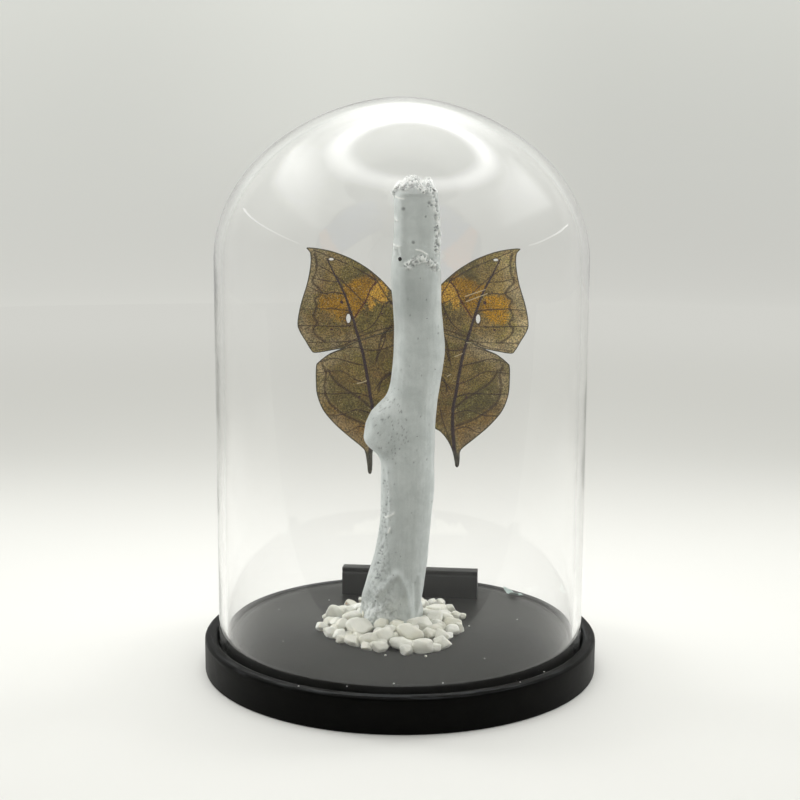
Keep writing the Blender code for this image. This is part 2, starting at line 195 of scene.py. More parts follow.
def patch_depth(points, outline):
    """How deep each 2D point lies inside a closed outline, in its own unit, negative outside."""
    depth = line_distance(points, [*outline, outline[0]])[0]
    return np.where(inside_outline(points, outline), depth, -depth)


def spline_points(points, steps, closed=False):
    """Points on a Catmull-Rom curve through the given ones."""
    points = [Vector(p) for p in points]
    count = len(points)
    made = []
    for i in range(count if closed else count - 1):
        picks = range(i - 1, i + 3)
        if not closed:
            picks = [min(max(k, 0), count - 1) for k in picks]
        before, start, end, after = (points[k % count] for k in picks)
        for step in range(steps):
            t = step / steps
            linear = (end - before) * t
            square = (2 * before - 5 * start + 4 * end - after) * t * t
            cubic = (3 * start - before - 3 * end + after) * t * t * t
            made.append(0.5 * (2 * start + linear + square + cubic))
    return made if closed else [*made, points[-1]]


def link_object(name, data):
    """A new object in the scene's own collection."""
    obj = bpy.data.objects.new(name, data)
    bpy.context.scene.collection.objects.link(obj)
    return obj


def mesh_object(name, verts, faces, materials=()):
    """A smooth-shaded mesh object."""
    mesh = bpy.data.meshes.new(name)
    mesh.from_pydata([tuple(v) for v in verts], [], faces)
    mesh.update()
    mesh.shade_smooth()
    for material in materials:
        mesh.materials.append(material)
    return link_object(name, mesh)


def set_attribute(obj, name, values):
    attribute = obj.data.attributes.new(name, "FLOAT", "POINT")
    attribute.data.foreach_set("value", np.asarray(values, np.float32))


def sharpen(obj, angle_deg):
    obj.data.set_sharp_from_angle(angle=radians(angle_deg))


def hide_from(obj, *rays):
    """Rays of these kinds pass through the object."""
    for kind in rays:
        setattr(obj, "visible_" + kind, False)


def place(obj, slot, *nodes):
    """The piece rides on the part's one body and stands for the given nodes. The slot is not used."""
    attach(obj, BODY)
    if nodes:
        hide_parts(*nodes)
    return obj


def ring_faces(rings, sides, first=0):
    """Quads between rings of vertices that follow each other."""
    faces = []
    for ring in range(rings - 1):
        low = first + ring * sides
        for i in range(sides):
            j = (i + 1) % sides
            faces.append((low + i, low + j, low + sides + j, low + sides + i))
    return faces


def flipped(faces):
    return [tuple(reversed(face)) for face in faces]


def spin_profile(profile, steps):
    """The vertices of rings about Z, one for each (radius, height) point."""
    return [(radius * cos(t), radius * sin(t), z) for radius, z in profile for t in turns_round(steps)]


def lathe(name, profile, steps, materials):
    """A closed profile of (radius, height) points, first and last on the axis, turned about Z."""
    inner = profile[1:-1]
    verts = spin_profile(inner, steps)
    faces = flipped(ring_faces(len(inner), steps))
    start = len(verts)
    verts += [(0, 0, profile[0][1]), (0, 0, profile[-1][1])]
    last = (len(inner) - 1) * steps
    for i in range(steps):
        j = (i + 1) % steps
        faces.append((start, i, j))
        faces.append((start + 1, last + j, last + i))
    return mesh_object(name, verts, faces, materials)


def arc(centre_x, centre_y, radius, start_deg, end_deg, count):
    """Points of a round in a profile, ends included."""
    angles = np.radians(np.linspace(start_deg, end_deg, count))
    return [(centre_x + radius * cos(a), centre_y + radius * sin(a)) for a in angles]


def tube_mesh(verts, faces, points, radii, sides):
    """Adds a closed tube along points to the lists of vertices and faces."""
    first = len(verts)
    points = [Vector(p) for p in points]
    across = None
    for index, (point, radius) in enumerate(zip(points, radii)):
        ahead = points[min(index + 1, len(points) - 1)] - points[max(index - 1, 0)]
        ahead.normalize()
        if across is None:
            across = ahead.orthogonal().normalized()
        across = (across - ahead * across.dot(ahead)).normalized()
        other = ahead.cross(across)
        for i in range(sides):
            turn = 2 * pi * i / sides
            verts.append(point + float(radius) * (cos(turn) * across + sin(turn) * other))
    last = first + (len(points) - 1) * sides
    faces += ring_faces(len(points), sides, first)
    faces += [range(first + sides - 1, first - 1, -1), range(last, last + sides)]


# ---- shader graphs


class Graph:
    """Short calls for adding nodes to a material's or a group's tree."""

    def __init__(self, tree):
        self.tree = tree

    def node(self, kind, **settings):
        made = self.tree.nodes.new(kind)
        for key, value in settings.items():
            setattr(made, key, value)
        return made

    def connect(self, socket, value):
        """Links a socket to another one or sets its value; None leaves it as it is."""
        if isinstance(value, bpy.types.NodeSocket):
            self.tree.links.new(value, socket)
        elif value is not None:
            socket.default_value = value

    def feed(self, node, *values):
        """Connects a node's inputs in their order, and gives its outputs."""
        for socket, value in zip(node.inputs, values):
            self.connect(socket, value)
        return node.outputs

    def fill(self, node, **values):
        """Connects a node's inputs by name, with underscores for spaces, and gives its outputs."""
        for key, value in values.items():
            self.connect(node.inputs[key.replace("_", " ")], value)
        return node.outputs

    def math(self, operation, *values):
        return self.feed(self.node("ShaderNodeMath", operation=operation), *values)[0]

    def add(self, first, second):
        return self.math("ADD", first, second)

    def times(self, first, second, plus=None):
        """The product of two values, with a third one added where it is given."""
        return self.math("MULTIPLY" if plus is None else "MULTIPLY_ADD", first, second, plus)

    def mix(self, factor, first, second, blend="MIX"):
        """A blend of two colours, each given as a socket or as numbers."""
        made = self.node("ShaderNodeMix", data_type="RGBA", blend_type=blend)
        self.connect(made.inputs[0], factor)
        for socket, value in ((made.inputs[6], first), (made.inputs[7], second)):
            is_socket = isinstance(value, bpy.types.NodeSocket)
            self.connect(socket, value if is_socket else (*value[:3], 1.0))
        return made.outputs[2]

    def coat(self, colour, mask, amount, tint):
        """A tint laid over a colour where a mask is, as thickly as the amount says."""
        return self.mix(self.times(mask, amount), colour, tint)

    def step(self, value, low, high, to_low=0.0, to_high=1.0):
        """Smoothly from to_low at low to to_high at high."""
        made = self.node("ShaderNodeMapRange", interpolation_type="SMOOTHSTEP")
        return self.feed(made, value, low, high, to_low, to_high)[0]

    def noise(self, vector, scale, detail=3.0, roughness=0.55, distortion=0.0):
        made = self.node("ShaderNodeTexNoise")
        self.fill(made, Vector=vector, Scale=scale, Detail=detail, Roughness=roughness, Distortion=distortion)
        return made.outputs[0]

    def cells(self, vector, scale):
        """Random cells: their Distance and Color."""
        return self.fill(self.node("ShaderNodeTexVoronoi"), Vector=vector, Scale=scale)

    def stretch(self, vector, scale):
        return self.fill(self.node("ShaderNodeMapping", vector_type="POINT"), Vector=vector, Scale=scale)[0]

    def split(self, vector):
        return self.feed(self.node("ShaderNodeSeparateXYZ"), vector)

    def join(self, *parts):
        return self.feed(self.node("ShaderNodeCombineXYZ"), *parts)[0]

    def length(self, vector):
        return self.feed(self.node("ShaderNodeVectorMath", operation="LENGTH"), vector)["Value"]

    def place(self):
        """The object's own coordinates, in metres."""
        return self.node("ShaderNodeTexCoord").outputs["Object"]

    def attribute(self, name):
        return self.node("ShaderNodeAttribute", attribute_name=name).outputs["Fac"]

    def bump(self, height, strength, distance):
        made = self.node("ShaderNodeBump")
        return self.fill(made, Height=height, Strength=strength, Distance=distance)[0]

    def use(self, name, vector, **values):
        """Places a shared node group and gives its outputs."""
        return self.fill(self.node("ShaderNodeGroup", node_tree=shared_group(name)), Vector=vector, **values)


def lay_out_streaks(graph, given, out):
    """Fine parallel streaks, such as brush marks or turning marks, along the axis that isn't stretched."""
    fine = graph.noise(given["Vector"], given["Fineness"], 2.0, 0.5)
    broad = graph.noise(given["Vector"], graph.times(given["Fineness"], 0.27), 2.0, 0.5)
    broken = graph.noise(given["Vector"], given["Breakup"], 2.0, 0.5)
    graph.connect(out["Streaks"], graph.times(broad, 0.6, graph.times(fine, 0.4)))
    graph.connect(out["Breakup"], graph.step(broken, 0.35, 0.65))


def lay_out_specks(graph, given, out):
    """Small scattered specks of uneven size; Density is the share of cells that hold one."""
    cell = graph.cells(given["Vector"], given["Scale"])
    draw, other_draw, _ = graph.feed(graph.node("ShaderNodeSeparateColor"), cell["Color"])
    chosen = graph.math("LESS_THAN", draw, given["Density"])
    size = graph.times(given["Size"], graph.times(other_draw, 0.8, 0.4))
    near = graph.step(cell["Distance"], graph.times(size, 0.5), size, 1.0, 0.0)
    graph.connect(out["Mask"], graph.times(chosen, near))


def lay_out_mottle(graph, given, out):
    """Uneven tone at three sizes, centred on 0.5."""
    broad = graph.noise(given["Vector"], given["Scale"], 4.0, 0.6, 0.4)
    grain = graph.noise(given["Vector"], graph.times(given["Scale"], 9.0), 2.0, 0.6)
    centred = graph.times(graph.math("SUBTRACT", grain, 0.5), given["Grain"])
    graph.connect(out["Tone"], graph.add(broad, centred))
    graph.connect(out["Grain"], grain)


def lay_out_dust(graph, given, out):
    """A thin, patchy film of dust that lies on what faces up."""
    normal = graph.split(graph.node("ShaderNodeNewGeometry").outputs["Normal"])
    up = graph.step(normal["Z"], 0.3, 0.95)
    patches = graph.noise(given["Vector"], 90.0, 4.0, 0.65)
    grain = graph.use("Specks", given["Vector"], Scale=1100.0, Density=0.1, Size=0.22)[0]
    film = graph.times(graph.step(patches, 0.4, 0.75), 0.35)
    total = graph.times(graph.add(film, grain), given["Amount"])
    graph.connect(out["Mask"], graph.times(total, up))


def lay_out_wing_scales(graph, given, out):
    """A wing's fine scales, the mask of its veins, and the height of both; Vein is the distance to a vein."""
    fine = graph.noise(given["Vector"], given["Fineness"], 1.0, 0.5)
    vein = graph.step(given["Vein"], 0.5, 1.6, 1.0, 0.0)
    graph.connect(out["Scales"], fine)
    graph.connect(out["Veins"], vein)
    graph.connect(out["Height"], graph.add(graph.times(vein, 0.8), graph.times(fine, 0.5)))


# Each shared group: what lays it out, its values beside the vector with their defaults, and its outputs
GROUPS = {
    "Streaks": (lay_out_streaks, {"Fineness": 900.0, "Breakup": 120.0}, ("Streaks", "Breakup")),
    "Specks": (lay_out_specks, {"Scale": 1500.0, "Density": 0.3, "Size": 0.3}, ("Mask",)),
    "Mottle": (lay_out_mottle, {"Scale": 200.0, "Grain": 0.3}, ("Tone", "Grain")),
    "Dust": (lay_out_dust, {"Amount": 0.2}, ("Mask",)),
    "Wing scales": (lay_out_wing_scales, {"Vein": 9.0, "Fineness": 2600.0}, ("Scales", "Veins", "Height")),
}


def shared_group(name):
    """A shader node group with named sockets, built at its first use."""
    tree = bpy.data.node_groups.get(name)
    if tree:
        return tree
    lay_out, values, outputs = GROUPS[name]
    tree = bpy.data.node_groups.new(name, "ShaderNodeTree")
    tree.interface.new_socket(name="Vector", in_out="INPUT", socket_type="NodeSocketVector")
    for label, default in values.items():
        socket = tree.interface.new_socket(name=label, in_out="INPUT", socket_type="NodeSocketFloat")
        socket.default_value = default
    for label in outputs:
        tree.interface.new_socket(name=label, in_out="OUTPUT", socket_type="NodeSocketFloat")
    graph = Graph(tree)
    lay_out(graph, graph.node("NodeGroupInput").outputs, graph.node("NodeGroupOutput").inputs)
    return tree


class MaterialGraph(Graph):
    """The graph of a new material with one Principled shader."""

    def __init__(self, name):
        self.material = bpy.data.materials.new(name)
        self.material.use_nodes = True
        super().__init__(self.material.node_tree)

    def paint(self, **values):
        """Connects the shader's inputs by name, and gives the finished material."""
        self.fill(self.tree.nodes["Principled BSDF"], **values)
        return self.material


# ---- materials

DUST_COLOUR = srgb(150, 150, 146)


def black_wood_material(settings, name, shine, dusty, deep):
    """Black-stained turned wood: turning marks, rubbed streaks on the rim's top, brush streaks on the rim's
    left made lighter as a painted highlight, a little dust.
    """
    graph = MaterialGraph(name)
    spot = graph.place()
    x, y, z = graph.split(spot)
    radius = graph.length(graph.join(x, y))
    unrolled = graph.join(radius, z, graph.times(graph.math("ARCTAN2", y, x), 0.006))
    marks = graph.use("Streaks", unrolled, Fineness=1500.0, Breakup=260.0)
    mottle = graph.use("Mottle", spot, Scale=160.0, Grain=0.35)
    on_rim = graph.step(radius, RIM_INNER_RADIUS - 0.2 * MM, RIM_INNER_RADIUS + 0.2 * MM)
    rim = graph.times(on_rim, graph.step(z, RIM_TOP - 0.9 * MM, RIM_TOP - 0.1 * MM))
    upper = graph.step(z, RIM_TOP - 3.2 * MM, RIM_TOP - 1.2 * MM)
    # Brush streaks on the rim's left side, lighter in colour: real streaks with a painted highlight where the
    # side light falls
    brushed = graph.step(graph.noise(graph.stretch(unrolled, (1.0, 1.0, 1.6)), 620.0, 3.0, 0.7), 0.52, 0.68)
    on_left = graph.times(graph.step(x, -15 * MM, -62 * MM), on_rim)
    lit_brush_streaks = graph.times(brushed, graph.times(on_left, upper))
    rubbed = graph.times(graph.step(marks["Streaks"], 0.47, 0.62), rim)
    rubbed = graph.times(rubbed, graph.times(marks["Breakup"], 0.7, 0.3))
    dust = graph.use("Dust", spot, Amount=dusty)[0]
    stain, bare = ([part * deep for part in colour] for colour in (settings.colour, srgb(27, 27, 23)))
    colour = graph.mix(graph.step(mottle["Tone"], 0.3, 0.75), stain, bare)
    colour = graph.coat(colour, rubbed, settings.wear, srgb(70, 72, 74))
    colour = graph.coat(colour, lit_brush_streaks, 0.5, srgb(50, 51, 52))
    rough = graph.times(rubbed, -0.1, graph.times(mottle["Tone"], 0.16, 0.34))
    on_disc = graph.step(radius, DISC_RADIUS + 0.6 * MM, DISC_RADIUS - 0.4 * MM)
    rough = graph.times(on_disc, graph.step(y, 20 * MM, -62 * MM, 0.0, 0.42), rough)
    height = graph.times(mottle["Grain"], 0.5, marks["Streaks"])
    return graph.paint(
        Base_Color=graph.mix(dust, colour, DUST_COLOUR), Roughness=graph.times(dust, 0.5, rough),
        Specular_IOR_Level=shine, Normal=graph.bump(height, 0.35, 0.12 * MM),
    )


def glass_material(settings):
    """Clear blown glass, a little wavy."""
    graph = MaterialGraph("clear_glass")
    wave = graph.bump(graph.noise(graph.place(), 22.0, 1.0, 0.4), 0.12, 2 * MM)
    return graph.paint(
        Base_Color=(1.0, 1.0, 1.0, 1.0), Roughness=0.0, IOR=settings.refraction,
        Transmission_Weight=1.0, Normal=wave,
    )


def white_paint_material(settings):
    """Matt white paint brushed over rough wood, with painted shade in its pits, pores, crevices and a band
    across its front, and painted highlights on its crests.
    """
    graph = MaterialGraph("white_painted_wood")
    spot = graph.place()
    along = graph.stretch(spot, (1.0, 1.0, 0.09))
    brush = graph.use("Streaks", along, Fineness=1000.0, Breakup=150.0)
    mottle = graph.use("Mottle", spot, Scale=150.0, Grain=0.25)
    dashes = graph.stretch(spot, (1.25, 1.0, 0.8))
    pores = graph.use("Specks", dashes, Scale=1000.0, Density=0.2, Size=0.3)[0]
    tone = graph.step(graph.times(brush["Streaks"], 0.5, mottle["Tone"]), 0.45, 1.05)
    colour = graph.mix(tone, srgb(180, 186, 184), settings.colour)
    # Painted shade: greyer across the middle of the front, around 144 mm up and faintly around 168 mm
    colour = graph.coat(colour, graph.attribute("band_shade"), 0.5, srgb(140, 146, 144))
    # Painted highlight: crests and curled lips whitened where the light catches them
    colour = graph.mix(graph.attribute("crest_highlight"), colour, srgb(251, 252, 249))
    # Painted shade: pores, pocks, pits and crevices are darkened where shade falls in them
    pocks = graph.times(pores, graph.times(graph.attribute("rough"), 0.9, 0.05))
    dark = graph.math("MINIMUM", graph.add(graph.times(pocks, 0.6), graph.attribute("pit_shade")), 1.0)
    height = graph.times(mottle["Grain"], 0.35, brush["Streaks"])
    height = graph.times(pocks, -1.4, height)
    return graph.paint(
        Base_Color=graph.mix(dark, colour, srgb(84, 89, 90)),
        Roughness=graph.times(mottle["Tone"], 0.2, 0.38), Normal=graph.bump(height, 0.8, 0.26 * MM),
    )


def nail_hole_material():
    """The inside of a nail hole, painted near black as the shade deep in a hole."""
    graph = MaterialGraph("nail_hole")
    tone = graph.noise(graph.place(), 1800.0, 2.0)
    return graph.paint(Base_Color=graph.mix(tone, srgb(12, 11, 10), srgb(34, 30, 27)), Roughness=0.9)


def stone_material(settings):
    """White tumbled marble chips, slightly warm and slightly translucent."""
    graph = MaterialGraph("white_stone")
    spot = graph.place()
    mottle = graph.use("Mottle", spot, Scale=260.0, Grain=0.4)
    veins = graph.step(graph.noise(spot, 190.0, 5.0, 0.6, 1.6), 0.47, 0.53)
    colour = graph.mix(graph.attribute("warmth"), settings.colour, srgb(231, 228, 212))
    colour = graph.coat(colour, veins, 0.12, srgb(196, 196, 190))
    colour = graph.mix(graph.step(mottle["Tone"], 0.25, 0.7), srgb(232, 232, 222), colour)
    specks = graph.use("Specks", spot, Scale=1300.0, Density=0.03, Size=0.25)[0]
    return graph.paint(
        Base_Color=graph.coat(colour, specks, 0.5, srgb(150, 146, 134)),
        Roughness=graph.times(mottle["Tone"], 0.3, 0.38), Subsurface_Weight=0.25,
        Subsurface_Radius=(1.0, 0.95, 0.85), Subsurface_Scale=1.2 * MM,
        Normal=graph.bump(mottle["Grain"], 0.8, 0.25 * MM),
    )


def black_plastic_material(settings):
    """Extruded satin black plastic, with fine lines along its length and dust on its ledges."""
    graph = MaterialGraph("black_plastic")
    spot = graph.place()
    along = graph.stretch(spot, (0.05, 1.0, 1.0))
    lines = graph.use("Streaks", along, Fineness=1400.0, Breakup=200.0)
    mottle = graph.use("Mottle", spot, Scale=180.0, Grain=0.2)
    dust = graph.use("Dust", spot, Amount=0.4)[0]
    colour = graph.mix(mottle["Tone"], settings.colour, srgb(34, 34, 34))
    return graph.paint(
        Base_Color=graph.mix(dust, colour, DUST_COLOUR), Specular_IOR_Level=0.3,
        Roughness=graph.times(mottle["Tone"], 0.12, 0.36),
        Normal=graph.bump(lines["Streaks"], 0.2, 0.08 * MM),
    )


def wing_patch(graph, name, ragged, low, high):
    """The mask of one of a wing's patches, with a ragged edge."""
    return graph.step(graph.add(graph.attribute(name), ragged), low, high)


# The underside's patches: name, strength, depth where each starts and is full in mm, colour
LEAF_PATCHES = (
    ("olive", 0.6, -1.6, 1.2, srgb(98, 90, 48)), ("warm", 0.45, -1.8, 1.4, srgb(150, 108, 46)),
    ("amber", 0.9, -1.6, 1.2, srgb(176, 126, 0)), ("smudge", 0.75, -1.4, 1.2, srgb(70, 66, 34)),
)
# Its lines: name, distance to where each is full and where it ends, strength, colour
LEAF_LINES = (
    ("red_line", 0.35, 1.4, 0.9, srgb(80, 30, 22)), ("scallop", 0.2, 1.15, 0.75, srgb(58, 40, 26)),
    ("midrib", 0.95, 1.9, 0.95, srgb(52, 34, 44)), ("window", 0.0, 0.8, 0.85, srgb(56, 38, 28)),
    ("dot", 0.0, 0.3, 1.0, srgb(62, 30, 36)), ("edge", 0.22, 0.62, 0.9, srgb(54, 52, 42)),
)


def leaf_side_material(settings):
    """A wing's underside: a dead leaf in olive and brown scales, with a dark midrib and gold flecks."""
    graph = MaterialGraph("leaf_side_of_wing")
    spot = graph.place()
    fine, vein, height = graph.use("Wing scales", spot, Vein=graph.attribute("vein"), Fineness=2600.0)
    mottle = graph.use("Mottle", spot, Scale=230.0, Grain=0.5)
    scales = graph.step(graph.noise(spot, 1900.0, 1.0, 0.5), 0.37, 0.63)
    powder = graph.step(fine, 0.42, 0.58)
    ragged = graph.times(graph.noise(spot, 950.0, 3.0, 0.75), 8.0, -4.0)
    margin = graph.step(graph.add(graph.attribute("edge"), ragged), 1.0, 8.0, 1.0, 0.0)
    margin = graph.times(margin, graph.attribute("outer"))
    colour = graph.mix(margin, settings.leaf_colour, settings.margin_colour)
    olive = graph.step(graph.noise(spot, 85.0, 3.0, 0.6, 0.5), 0.44, 0.6)
    colour = graph.coat(colour, olive, 0.6, srgb(118, 106, 42))
    brown = graph.noise(graph.stretch(spot, (1.0, 1.0, 1.3)), 110.0, 3.0, 0.6, 0.8)
    colour = graph.coat(colour, graph.step(brown, 0.52, 0.64), 0.4, srgb(132, 94, 50))
    for name, amount, low, high, tint in LEAF_PATCHES:
        colour = graph.coat(colour, wing_patch(graph, name, ragged, low, high), amount, tint)
    shade = graph.times(scales, 0.8, graph.times(powder, 0.35, 0.31))
    shade = graph.times(shade, graph.step(mottle["Tone"], 0.3, 0.75, 0.72, 1.28))
    colour = graph.mix(1.0, colour, shade, "MULTIPLY")
    paler = graph.mix(1.0, colour, (1.46, 1.50, 1.52), "MULTIPLY")
    colour = graph.mix(graph.attribute("pale"), colour, paler)
    gold = wing_patch(graph, "gold", ragged, -0.8, 0.9)
    glitter = graph.times(powder, 0.4, graph.times(scales, 0.6))
    colour = graph.mix(gold, colour, graph.mix(glitter, srgb(140, 84, 20), srgb(250, 200, 74)))
    flecks = graph.use("Specks", spot, Scale=1600.0, Density=0.34, Size=0.4)[0]
    flecks = graph.times(flecks, graph.step(graph.noise(spot, 240.0, 3.0, 0.6), 0.34, 0.58))
    colour = graph.coat(colour, flecks, 0.8, graph.mix(gold, srgb(196, 178, 118), srgb(250, 214, 112)))
    squeezed = graph.stretch(spot, (1.1, 1.0, 0.9))
    soot = graph.use("Specks", squeezed, Scale=1350.0, Density=0.38, Size=0.4)[0]
    colour = graph.coat(colour, soot, 0.5, srgb(54, 42, 28))
    faint = graph.step(graph.noise(spot, 420.0, 2.0), 0.3, 0.5, 0.45, 0.85)
    colour = graph.coat(colour, vein, faint, srgb(56, 34, 28))
    for name, near, far, amount, tint in LEAF_LINES:
        reach = graph.attribute(name)
        if name in ("red_line", "scallop"):
            reach = graph.times(ragged, 0.12, reach)
        colour = graph.coat(colour, graph.step(reach, near, far, 1.0, 0.0), amount, tint)
    tail = graph.mix(powder, srgb(60, 56, 48), srgb(92, 88, 76))
    colour = graph.mix(graph.attribute("tail"), colour, tail)
    # Pale scratches, and glints that are painted highlights, in one mask
    scratch_and_glint = graph.step(graph.attribute("scratch_and_glint"), 0.06, 0.26, 1.0, 0.0)
    height = graph.add(height, graph.step(graph.attribute("midrib"), 0.55, 1.25, 1.2, 0.0))
    return graph.paint(
        Base_Color=graph.coat(colour, scratch_and_glint, 0.85, srgb(236, 220, 176)), Roughness=0.6,
        Specular_IOR_Level=0.25, Normal=graph.bump(height, 0.5, 0.12 * MM),
    )


def upper_side_material(settings):
    """A wing's upper side: deep blue scales, an orange band and a dark tip, and brown margins behind."""
    graph = MaterialGraph("upper_side_of_wing")
    spot = graph.place()
    fine, vein, height = graph.use("Wing scales", spot, Vein=graph.attribute("vein"), Fineness=2800.0)
    mottle = graph.use("Mottle", spot, Scale=260.0, Grain=0.5)
    ragged = graph.times(graph.noise(spot, 700.0, 3.0, 0.65), 3.0, -1.5)
    colour = graph.mix(graph.step(mottle["Tone"], 0.3, 0.75), settings.blue_colour, srgb(44, 92, 168))
    colour = graph.coat(colour, graph.attribute("near_body"), 0.55, srgb(54, 46, 48))
    orange = wing_patch(graph, "band", ragged, -0.8, 0.9)
    colour = graph.mix(orange, colour, graph.mix(mottle["Tone"], srgb(206, 104, 20), settings.orange_colour))
    brown = wing_patch(graph, "brown", ragged, -1.4, 1.4)
    colour = graph.mix(brown, colour, srgb(66, 50, 36))
    colour = graph.mix(wing_patch(graph, "apex", ragged, -0.9, 0.9), colour, srgb(24, 20, 22))
    colour = graph.mix(1.0, colour, graph.step(fine, 0.3, 0.72, 0.66, 1.36), "MULTIPLY")
    flecks = graph.use("Specks", spot, Scale=2300.0, Density=0.22, Size=0.34)[0]
    fleck_colour = graph.mix(graph.math("MAXIMUM", orange, brown), srgb(98, 150, 206), srgb(226, 156, 82))
    colour = graph.coat(colour, flecks, 0.5, fleck_colour)
    colour = graph.coat(colour, vein, 0.7, srgb(26, 22, 26))
    ring = graph.step(graph.attribute("window"), 0.1, 0.9, 1.0, 0.0)
    colour = graph.coat(colour, ring, 0.8, srgb(22, 18, 20))
    rim = graph.step(graph.attribute("edge"), 0.12, 0.42, 1.0, 0.0)
    colour = graph.coat(colour, rim, 0.85, srgb(34, 28, 26))
    return graph.paint(
        Base_Color=graph.mix(graph.attribute("tail"), colour, srgb(52, 42, 34)),
        Roughness=graph.times(fine, 0.2, 0.38), Sheen_Weight=0.2, Sheen_Tint=(0.5, 0.7, 1.0, 1.0),
        Normal=graph.bump(height, 0.5, 0.12 * MM),
    )


def membrane_material():
    """The clear, scaleless membrane of the wings' windows."""
    graph = MaterialGraph("clear_membrane")
    rough = graph.step(graph.noise(graph.place(), 900.0), 0.3, 0.7, 0.05, 0.3)
    return graph.paint(Base_Color=(1.0, 0.99, 0.96, 1.0), IOR=1.3, Transmission_Weight=1.0, Roughness=rough)


def hairy_body_material(settings):
    """A dried butterfly's body: brown skin under scales and fine hair."""
    graph = MaterialGraph("insect_body")
    spot = graph.place()
    mottle = graph.use("Mottle", spot, Scale=420.0, Grain=0.4)
    along = graph.stretch(spot, (1.0, 1.0, 0.25))
    hair = graph.use("Streaks", along, Fineness=3200.0, Breakup=500.0)["Streaks"]
    colour = graph.mix(graph.step(mottle["Tone"], 0.3, 0.75), settings.body_colour, srgb(112, 86, 56))
    colour = graph.coat(colour, graph.attribute("dark"), 0.9, srgb(26, 20, 18))
    colour = graph.mix(graph.step(hair, 0.5, 0.68, 0.0, 0.5), colour, srgb(150, 124, 88))
    return graph.paint(
        Base_Color=colour, Roughness=graph.times(mottle["Tone"], 0.3, 0.4), Sheen_Weight=0.3,
        Normal=graph.bump(hair, 0.6, 0.15 * MM),
    )


def eye_material():
    """The dried compound eyes: dark brown, glossy, finely faceted."""
    graph = MaterialGraph("insect_eye")
    spot = graph.place()
    facets = graph.bump(graph.cells(spot, 9000.0)["Distance"], 0.4, 0.05 * MM)
    colour = graph.mix(graph.noise(spot, 900.0, 2.0), srgb(30, 18, 12), srgb(72, 44, 26))
    return graph.paint(Base_Color=colour, Roughness=0.22, Normal=facets)


def glue_material():
    """A pale fleck of dried glue."""
    graph = MaterialGraph("dried_glue")
    tone = graph.noise(graph.place(), 700.0, 3.0)
    colour = graph.mix(tone, srgb(150, 176, 172), srgb(214, 226, 220))
    return graph.paint(Base_Color=colour, Roughness=0.35, Normal=graph.bump(tone, 0.4, 0.1 * MM))


def floor_glow(graph, spot):
    """A little more light on the floor near the base."""
    return graph.step(graph.length(spot), 0.04, 0.30, 0.085, 0.0)


def wall_glow(graph, spot):
    """The glow of a light tent's side: more further up and in the middle, less on the camera's side."""
    x, y, z = graph.split(spot)
    glow = graph.times(graph.math("MINIMUM", z, 1.0), 0.48, 0.033)
    glow = graph.add(glow, graph.step(z, 0.0, 0.3, 0.0, 0.017))
    off_middle = graph.math("ABSOLUTE", graph.add(x, 0.1))
    middle = graph.times(graph.step(off_middle, 0.0, 0.62, 0.065, 0.0), graph.step(z, 0.1, 0.4))
    glow = graph.add(graph.add(glow, middle), graph.step(x, -0.2, 0.6, 0.0, -0.025))
    return graph.times(glow, graph.step(y, 1.5, 2.2, 0.55, 1.0))


def card_material(name, find_glow, glow_colour):
    """Pale card with a faint, uneven tone and a soft glow."""
    graph = MaterialGraph(name)
    spot = graph.place()
    tone = graph.noise(graph.stretch(spot, (1.3, 1.3, 1.3)), 1.0, 2.0)
    near_colour = graph.mix(tone, srgb(222, 222, 218), srgb(225, 225, 221))
    far = graph.step(graph.length(spot), 0.5, 1.5)
    return graph.paint(
        Base_Color=graph.mix(far, near_colour, srgb(232, 232, 229)), Roughness=0.7,
        Specular_IOR_Level=0.0, Emission_Strength=1.0,
        Emission_Color=graph.mix(find_glow(graph, spot), (0.0, 0.0, 0.0), glow_colour),
    )


# ---- base


def base_profile(settings):
    """The turned base's section, from the middle of its top to the middle of its underside."""
    rim, disc, foot, groove = settings.rim_round, settings.disc_round, 0.8 * MM, 0.6 * MM
    profile = [(0, DISC_TOP)]
    profile += [(radius, DISC_TOP) for radius in np.linspace(6 * MM, DISC_RADIUS - 2.3 * MM, 11)]
    profile += [(DISC_RADIUS - inset * MM, DISC_TOP - 0.14 * MM) for inset in (2.0, 1.6)]
    profile += [(DISC_RADIUS - 1.3 * MM, DISC_TOP - 0.03 * MM)]
    profile += arc(DISC_RADIUS - disc, DISC_TOP - disc, disc, 90, 0, 9)
    profile += arc(DISC_RADIUS + groove, GROOVE_FLOOR + groove, groove, 180, 270, 5)
    profile += arc(RIM_INNER_RADIUS - groove, GROOVE_FLOOR + groove, groove, 270, 360, 5)
    profile += arc(RIM_INNER_RADIUS + rim, RIM_TOP - rim, rim, 180, 90, 8)
    flat = np.linspace(RIM_INNER_RADIUS + rim, BASE_RADIUS - rim, 4)[1:-1]
    profile += [(radius, RIM_TOP) for radius in flat]
    profile += arc(BASE_RADIUS - rim, RIM_TOP - rim, rim, 90, 0, 8)
    profile += [(BASE_RADIUS, height) for height in np.linspace(RIM_TOP - rim, foot, 5)[1:-1]]
    profile += arc(BASE_RADIUS - foot, foot, foot, 0, -90, 6)
    profile += [(BASE_RADIUS - 9 * MM, 0), (BASE_RADIUS - 9.6 * MM, 0.5 * MM), (30 * MM, 0.5 * MM)]
    return profile + [(0, 0.5 * MM)]


def make_base(settings):
    stains = [
        black_wood_material(settings, "black_disc", 0.34, 0.06, 0.8),
        black_wood_material(settings, "black_rim", 0.06, 0.0, 0.25),
    ]
    base = lathe("base_turned", base_profile(settings), settings.steps, stains)
    for face in base.data.polygons:
        face.material_index = int(Vector(face.center[:2]).length > DISC_RADIUS)
    for vert in base.data.vertices:
        if vert.co.z > GROOVE_FLOOR + 1 * MM:
            vert.co.z += 0.05 * MM * noise.noise(Vector((*vert.co.xy, 6 * vert.co.z)) / (7 * MM))
    return place(base, "black_wood", "base")


# ---- dome


